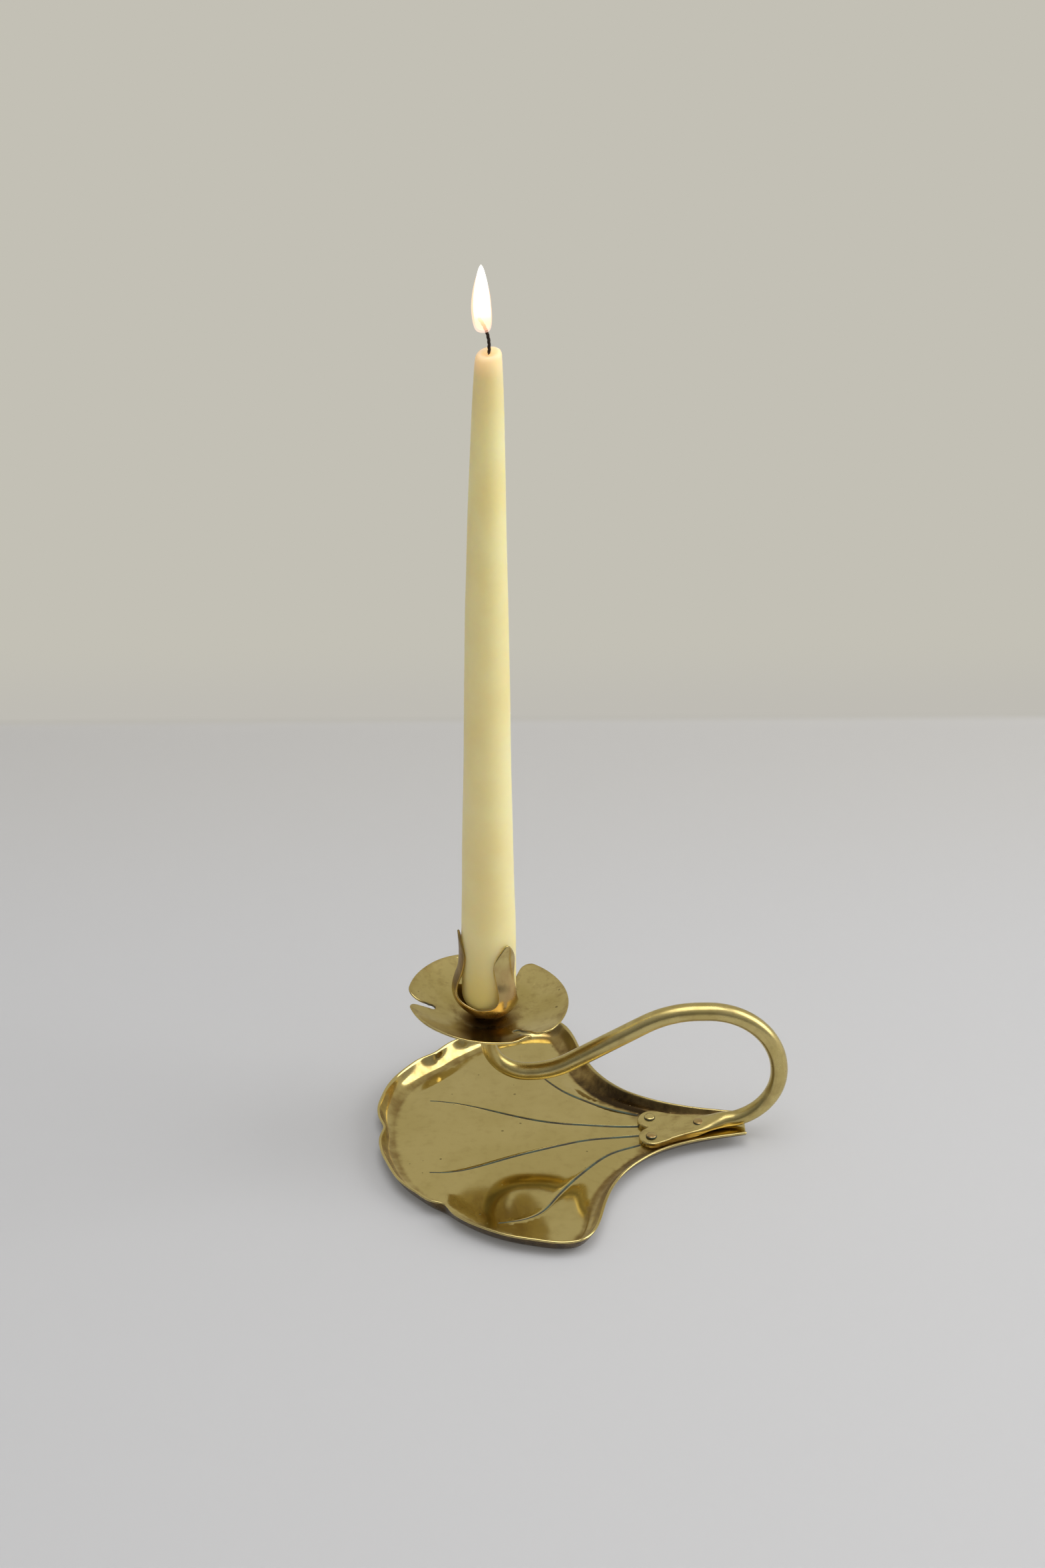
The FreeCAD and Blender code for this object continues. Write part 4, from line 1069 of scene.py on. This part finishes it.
def around_tree():
    """Copies of a mesh set round the Z axis and welded together."""
    tree, take = growth("welded_round_axis", {
        "Count": "Int", "First Angle": "Float", "Weld": "Float", "Finish": "Material"})
    spots = tree.node("GeometryNodePoints", None, {"Count": take["Count"]})
    index = tree.node("GeometryNodeInputIndex")
    turn = tree.joined(Z=index * (2 * math.pi) / take["Count"] + take["First Angle"])
    placed = tree.node("GeometryNodeInstanceOnPoints", None, {
        "Points": spots, "Instance": take["Geometry"], "Rotation": turn})
    real = tree.node("GeometryNodeRealizeInstances", None, {"Geometry": placed})
    welded = tree.node("GeometryNodeMergeByDistance", None, {"Geometry": real, "Distance": take["Weld"]})
    return tree.finish(welded, take["Finish"])


def sepal_shape(points):
    """The welded cup made uneven: three lobes in its bowl, and each sepal's own lean and length."""
    made = points.copy()
    x, y, z = points.T
    turn, away = np.arctan2(y, x), np.hypot(x, y)
    added = np.zeros(len(points))
    for k, (twist, taller, wider) in enumerate(SEPALS):
        middle = math.radians(SEPAL_AZIMUTH + 120 * k)
        off = (turn - middle + math.pi) % (2 * math.pi) - math.pi
        mine = np.abs(off) <= math.pi / 3
        high = ease(z, 84, 104)
        added[mine] += (off * wider * high + math.radians(twist) * high)[mine]
        made[mine, 2] += (taller * ease(z, 88, 108))[mine]
    dip = VALLEY_DIP * (1 - np.cos(3 * (turn - math.radians(SEPAL_AZIMUTH)))) / 2
    away = away - dip * ease(z, 70.5, 77) * (1 - ease(z, 81, 88))
    made[:, 0], made[:, 1] = away * np.cos(turn + added), away * np.sin(turn + added)
    return made


def turned_ring(profile, segments):
    """A closed ring from a closed profile of (radius, height) points, listed anticlockwise."""
    angles = round_angles(segments)
    points = np.array([(r * math.cos(a), r * math.sin(a), z) for r, z in profile for a in angles])
    faces = grid_faces(len(profile) + 1, segments, wrap=True)
    return points, [tuple(i % len(points) for i in face) for face in faces]


def make_candle_cup(material):
    """The cup of three sepals, and the collar it stands on."""
    points, faces = cup_sector()
    whole = grown("cup_middle", plain_mesh("cup_third", points, faces=faces), around_tree(), {
        "Count": 3, "First Angle": math.radians(SEPAL_AZIMUTH), "Weld": 0.02 * MM, "Finish": material})
    points = sepal_shape(np.array([v.co for v in whole.data.vertices]) / MM)
    faces = [tuple(f.vertices) for f in whole.data.polygons]
    bpy.data.objects.remove(whole)
    hole, floor = CUP_PROFILE[0]
    if (vertex_normals(points, faces)[:, 2] * (points[:, 2] < floor + 0.2)).sum() < 0:
        faces = [face[::-1] for face in faces]
    away = np.hypot(points[:, 0], points[:, 1])
    sheet = CUP_SHEET + (CUP_BASE_SHEET - CUP_SHEET) * (1 - ease(away, 7.0, 11.5)) * (points[:, 2] < 76)
    points, faces, _, side = thicken(points, faces, sheet)
    seat = PAN_LOW[2] + PAN_SHEET
    collar, collar_faces = turned_ring([
        (COLLAR_RADIUS - 0.15, seat), (COLLAR_RADIUS, seat + 0.15), (COLLAR_RADIUS, COLLAR_TOP),
        (hole, COLLAR_TOP), (hole, seat)], 48)
    faces = list(faces) + [tuple(i + len(points) for i in face) for face in collar_faces]
    x, _, z = points.T
    # darker inside low down and low on the bowl; painted shade on the left side of the bowl, which faces away
    # from the light; the collar is dark all over
    inner = np.where(side > 0.5, 1 - ease(z, 80, 90), 0.0)
    low = 1 - ease(z, 70, 80) + 1.6 * ease(-x, 6, 11) * ease(z, 78, 86)
    edge = np.where(np.abs(side) < EDGE, 0.3, 0.0)
    points = np.concatenate([points, collar])
    return mesh_piece("candle_cup_sepals", points, faces, material, {
        "tarnish_and_shade": np.append(0.3 + 0.6 * inner + 0.45 * low, np.full(len(collar), 1.3)),
        "worn": np.append(edge, np.zeros(len(collar))),
        "grain": points * (0.9, 0.9, 0.25)})


def make_screw(material):
    """The countersunk screw under the candle, with a slot across its head."""
    top, head = SCREW_HIGH[2], (SCREW_HIGH[0] - SCREW_LOW[0]) / 2
    points, faces = turned([
        (0, SCREW_LOW[2]), (SCREW_SHANK * 0.7, SCREW_LOW[2]), (SCREW_SHANK, SCREW_LOW[2] + 0.7),
        (SCREW_SHANK, top - 2.0), (head - 0.15, top - 0.15), (head - 0.1, top - 0.05), (head - 0.25, top),
        (0, top)], 48)
    screw = mesh_piece("cup_screw_slotted", points, faces, material, {"tarnish_and_shade": np.full(len(points), 0.6)})
    box = [(x, y, z) for x in (-5.0, 5.0) for y in (-SCREW_SLOT / 2, SCREW_SLOT / 2)
           for z in (top - SLOT_DEPTH, top + 1)]
    sides = [(0, 1, 3, 2), (4, 6, 7, 5), (0, 4, 5, 1), (2, 3, 7, 6), (0, 2, 6, 4), (1, 5, 7, 3)]
    tool = mesh_piece("slot_tool", box, sides, material)
    cut = screw.modifiers.new("slot", "BOOLEAN")
    cut.object, cut.operation, cut.solver = tool, "DIFFERENCE", "EXACT"
    mesh = settled(screw, "cup_screw_slotted")
    mesh.shade_flat()
    screw.modifiers.clear()
    screw.data = mesh
    bpy.data.objects.remove(tool)
    return screw


# ---------------- candle, wick and flame
def make_candle(material):
    """The taper, a little crooked, with its burnt upper edge."""
    foot, top = CANDLE_LOW[2], CANDLE_HIGH[2]
    heights, widths = zip(*CANDLE_WIDTHS)
    heights, halves = curve_through(np.column_stack([heights, np.array(widths) / 2]), 300).T
    base = float(np.interp(foot + CANDLE_ROUND, heights, halves)) - CANDLE_ROUND
    rows = [(0, foot), (2.0, foot), (3.2, foot)]
    rows += [(base + CANDLE_ROUND * math.sin(a), foot + CANDLE_ROUND * (1 - math.cos(a)))
             for a in np.linspace(0.02, math.pi / 2, 16)]
    rows += [(float(np.interp(z, heights, halves)), z)
             for z in np.linspace(foot + CANDLE_ROUND + 1.5, top - 3.0, 130)]
    end = rows[-1][0]
    rows += [(end - inset, top - drop) for inset, drop in CANDLE_LIP]
    points, faces = turned(rows + [(0.9, top - CANDLE_POOL), (0, top - CANDLE_POOL)], 96)
    x, y, z = points.T
    angle = np.arctan2(y, x)
    low_side = 0.5 - 0.5 * np.cos(angle - math.radians(40))
    points[:, 2] -= CANDLE_SLANT * low_side * ease(z, top - 9, top - 0.5) ** 1.5
    shrink = 1 - 0.10 * low_side * ease(z, top - 5, top - 0.6) + 0.004 * np.sin(z / 17 + 2 * angle)
    points[:, 0] = x * shrink + np.interp(z, *zip(*CANDLE_STRAY))
    points[:, 1] = y * shrink
    return mesh_piece("taper_candle", points, faces, material)


def wick_tree():
    """Twisted strands that follow a path."""
    tree, take = growth("twisted_strands", {
        "Strands": "Int", "Strand Radius": "Float", "Turns": "Float", "Samples": "Int", "Finish": "Material"})
    path = tree.node("GeometryNodeMeshToCurve", None, {"Mesh": take["Geometry"]})
    even = tree.node("GeometryNodeResampleCurve", None, {"Curve": path, "Count": take["Samples"]})
    copies = tree.node("GeometryNodeDuplicateElements", {"domain": "SPLINE"},
                       {"Geometry": even, "Amount": take["Strands"]})
    copy = copies.beside("Duplicate Index")
    along = tree.node("GeometryNodeSplineParameter", output="Factor")
    normal = tree.node("GeometryNodeInputNormal")
    across = tree.vector("CROSS_PRODUCT", tree.node("GeometryNodeInputTangent"), normal)
    turn = copy * (2 * math.pi) / take["Strands"] + along * take["Turns"] * (2 * math.pi)
    reach = take["Strand Radius"] * 0.95
    aside = tree.vector("ADD", tree.scaled(normal, tree.math("COSINE", turn) * reach),
                        tree.scaled(across, tree.math("SINE", turn) * reach))
    moved = tree.node("GeometryNodeSetPosition", None, {"Geometry": copies, "Offset": aside})
    ring = tree.node("GeometryNodeCurvePrimitiveCircle", None, {
        "Resolution": 10, "Radius": take["Strand Radius"]})
    tube = tree.node("GeometryNodeCurveToMesh", None, {
        "Curve": moved, "Profile Curve": ring, "Fill Caps": True})
    return tree.finish(tube, take["Finish"])


def make_wick(material):
    """A braided wick that leans out of the flame's foot, from the frame's own line."""
    reach = -WICK_LOW[0] - WICK_RADIUS
    bend, tip = CANDLE_HIGH[2] + 1.5, WICK_HIGH[2] - WICK_RADIUS * 0.6
    climb = tip - bend
    arc = (reach ** 2 + climb ** 2) / (2 * reach)
    full = math.asin(min(1.0, climb / arc))
    line = [(0, 0, z) for z in np.linspace(WICK_LOW[2], bend, 10)]
    line += [(arc * (math.cos(a) - 1), 0, bend + arc * math.sin(a)) for a in np.linspace(0, full, 14)[1:]]
    start = plain_mesh("wick_path", line, [(i, i + 1) for i in range(len(line) - 1)])
    return grown("wick_braid", start, wick_tree(), {
        "Strands": 3, "Strand Radius": STRAND_RADIUS * MM, "Turns": STRAND_TURNS, "Samples": 70,
        "Finish": material})


def flame_shape(low, high, centres, widths):
    """A closed flame: its middle and width at shares of its height."""
    segments, rows = 40, 44
    shares = 0.5 - 0.5 * np.cos(np.linspace(0, math.pi, rows + 2))
    angles = round_angles(segments)
    shape = curve_through(np.array(widths) * (10, 1), 300) / (10, 1)
    middles, halves = np.interp(shares, *zip(*centres)), np.interp(shares, *shape.T) / 2
    rings = [np.column_stack([middle + half * np.cos(angles), half * 0.92 * np.sin(angles),
                              np.full(segments, low + (high - low) * share)])
             for share, middle, half in zip(shares[1:-1], middles[1:-1], halves[1:-1])]
    return capped_rings(rings, (middles[0], 0, low), (middles[-1], 0, high))


# ---------------- the candlestick
TRAY_BRASS = brass("tray_brass", 3.0, polish=0.075, uneven=0.4, streak=0.25)
ROD_BRASS = brass("rod_brass", 31.0, polish=0.29, uneven=0.9, streak=1.0, tarnish_and_shade=0.8)
PAN_BRASS = brass("pan_brass", 57.0, polish=0.19, uneven=1.1)
CUP_BRASS = brass("cup_brass", 83.0, polish=0.2, blush=0.8, beaten=0.12)
RIVET_BRASS = brass("rivet_brass", 12.0, polish=0.24, blush=0.9, tarnish_and_shade=0.4)
SCREW_BRASS = brass("screw_brass", 7.0, polish=0.3)

stand_in(make_leaf_tray(TRAY_BRASS), "stick", "leaf_brass", "leaf_tray")
stand_in(make_handle(ROD_BRASS), "stick", "handle_brass", "handle_rod")
stand_in(make_rivets(RIVET_BRASS), "stick", "rivet_brass", "rivet_front", "rivet_back", "rivet_stem")
stand_in(make_drip_pan(PAN_BRASS), "stick", "pan_brass", "drip_pan")
stand_in(make_candle_cup(CUP_BRASS), "stick", "cup_brass", "candle_cup")
stand_in(make_screw(SCREW_BRASS), "stick", "screw_brass", "cup_screw")
stand_in(make_candle(beeswax("ivory_wax")), "candle", "wax", "candle")
stand_in(make_wick(burnt_cotton("burnt_cotton")), "candle", "burnt_cotton", "wick")

FLAME_LOW, FLAME_HIGH = CANDLE_HIGH[2] + 7.0, WICK_HIGH[2] + 20.8
# the middle line's x and the width, each at shares of the height
CORE = flame_shape(FLAME_LOW + 0.9, FLAME_HIGH, [(0, -2.2), (0.4, -2.8), (1, -3.1)], [
    (0, 0), (0.02, 3.4), (0.08, 5.6), (0.25, 6.5), (0.5, 6.1), (0.7, 4.8), (0.87, 2.9), (0.96, 1.4), (1, 0)])
VEIL = flame_shape(FLAME_LOW, FLAME_HIGH - 1.0, [(0, -2.3), (0.4, -3.0), (1, -3.2)], [
    (0, 0), (0.02, 3.6), (0.10, 6.6), (0.27, 7.6), (0.5, 7.2), (0.7, 5.6), (0.87, 3.2), (0.96, 1.5), (1, 0)])
WHITE_FIRE = fire("white_fire", FLAME_LOW + 3.0, FLAME_LOW + 11.0, tone(255, 214, 176), tone(255, 250, 236),
                  (0.14, 1.0))
PEACH_FIRE = fire("peach_fire", FLAME_LOW, FLAME_LOW + 6.0, tone(252, 206, 184), tone(255, 190, 150),
                  (0.2, 0.34))
for flame_name, flame, finish in (("flame_core", CORE, WHITE_FIRE), ("flame_veil", VEIL, PEACH_FIRE)):
    stand_in(mesh_piece(flame_name, *flame, finish), "candle", None)


# ---------------- table, wall, light, camera
WALL_Y, COVE = 0.385, 0.012   # metres
WALL_FOOT = (-1.0, 3.0)       # millimetres over which the table's colour turns into the wall's


def backdrop():
    """A pale table that ends in a plain wall, with a soft cove between them, and goes on behind it."""
    line = [(y, 0.0) for y in (-2.2, -1.0, -0.4, 0.0, 0.2)]
    line += [(WALL_Y - COVE + COVE * math.sin(a), COVE * (1 - math.cos(a)))
             for a in np.linspace(0, math.pi / 2, 12)]
    line += [(WALL_Y, z) for z in (0.2, 0.6, 1.2, 2.4)]
    behind = [(WALL_Y - 0.02, -0.0005), (1.0, -0.0005), (2.2, -0.0005)]
    points = np.array([(x, y, z) for y, z in line + behind for x in (-2.6, 2.6)]) / MM
    faces = grid_faces(len(line), 2) + grid_faces(len(behind), 2, start=2 * len(line))
    return mesh_piece("table_and_wall", points, faces, surface("pale_backdrop", table_and_wall, shown_wall))


def table_and_wall(tree):
    """The table's colour, and the wall's above the cove."""
    _, depth, height = tree.parts(tree.place())
    table = tree.blend(tree.band(depth, 120.0, WALL_Y / MM), tone(213, 214, 218), tone(209, 208, 207))
    colour = tree.blend(tree.band(height, *WALL_FOOT), table, tone(192, 189, 181))
    return {"Base Color": colour, "Roughness": 0.6, "Specular IOR Level": 0.15}


def shown_wall(tree, lit):
    """The wall shows its own colour to the eye and to metal, and is clear to the eye from behind."""
    height = tree.parts(tree.place())[2]
    ray = tree.node("ShaderNodeLightPath", None, None, "Is Camera Ray")
    tint = tree.blend(tree.band(height, 0.0, 50.0), tone(191, 188, 180), tone(195, 192, 181))
    flat = tree.node("ShaderNodeEmission", None, {"Color": tint, "Strength": 1.0})
    share = tree.math("MAXIMUM", ray, ray.beside("Is Glossy Ray")) * tree.band(height, *WALL_FOOT)
    front = tree.node("ShaderNodeMixShader", None, {0: share, 1: lit, 2: flat})
    back = tree.node("ShaderNodeNewGeometry", None, None, "Backfacing") * ray * tree.band(height, 0.0, 1.0)
    clear = tree.node("ShaderNodeBsdfTransparent")
    return tree.node("ShaderNodeMixShader", None, {0: back, 1: front, 2: clear})


stage = backdrop()


def room_light():
    """Soft light from all round, brighter overhead, to the right and behind, dim from the front."""
    world = bpy.data.worlds.new("soft_room")
    bpy.context.scene.world = world
    world.use_nodes = True
    world.node_tree.nodes.clear()
    tree = Tree(world.node_tree)
    x, y, z = tree.parts(tree.node("ShaderNodeTexCoord", None, None, "Generated"))
    strength = tree.band(z, -0.1, 0.9) * 0.30 + tree.band(x, -0.4, 0.9) * 0.18
    strength = strength + tree.band(y, -0.8, 0.4) * 0.18 + 0.08
    light = tree.node("ShaderNodeBackground", None, {"Color": tone(250, 250, 252), "Strength": strength})
    tree.node("ShaderNodeOutputWorld", None, {"Surface": light})


def soft_box(name, place, aim, width, height, power, colour=(1.0, 1.0, 1.0)):
    """A rectangular lamp at a place in metres, turned to its aim."""
    lamp = bpy.data.lights.new(name, "AREA")
    lamp.shape, lamp.size, lamp.size_y, lamp.energy, lamp.color = "RECTANGLE", width, height, power, colour
    holder = put(name, lamp)
    holder.location = place
    holder.rotation_euler = (Vector(aim) - Vector(place)).to_track_quat("-Z", "Y").to_euler()


room_light()
soft_box("window", (1.35, 0.3, 0.85), (0.02, 0.0, 0.05), 1.7, 1.4, 21.0, (1.0, 0.995, 0.98))
soft_box("ceiling", (0.1, -0.2, 1.9), (0.0, 0.0, 0.0), 1.4, 1.4, 15.0)


def set_camera():
    """A long lens above and in front of the candlestick, a little to its left."""
    pitch, azimuth, roll = (math.radians(a) for a in (30.184, -1.765, 0.459))
    target, distance = Vector((0.02352, 0.31024, 0.0)), 1.60818
    level = math.cos(pitch)
    back = Vector((math.sin(azimuth) * level, -math.cos(azimuth) * level, math.sin(pitch)))
    right = Vector((math.cos(azimuth), math.sin(azimuth), 0))
    turn = Matrix((right, back.cross(right), back)).transposed() @ Matrix.Rotation(roll, 3, "Z")
    data = bpy.data.cameras.new("long_lens")
    data.lens, data.sensor_width = 70.0, 36.0
    camera = put("long_lens", data)
    camera.matrix_world = Matrix.Translation(target + back * distance) @ turn.to_4x4()
    bpy.context.scene.camera = camera


set_camera()
bpy.context.scene.view_settings.view_transform = "Standard"
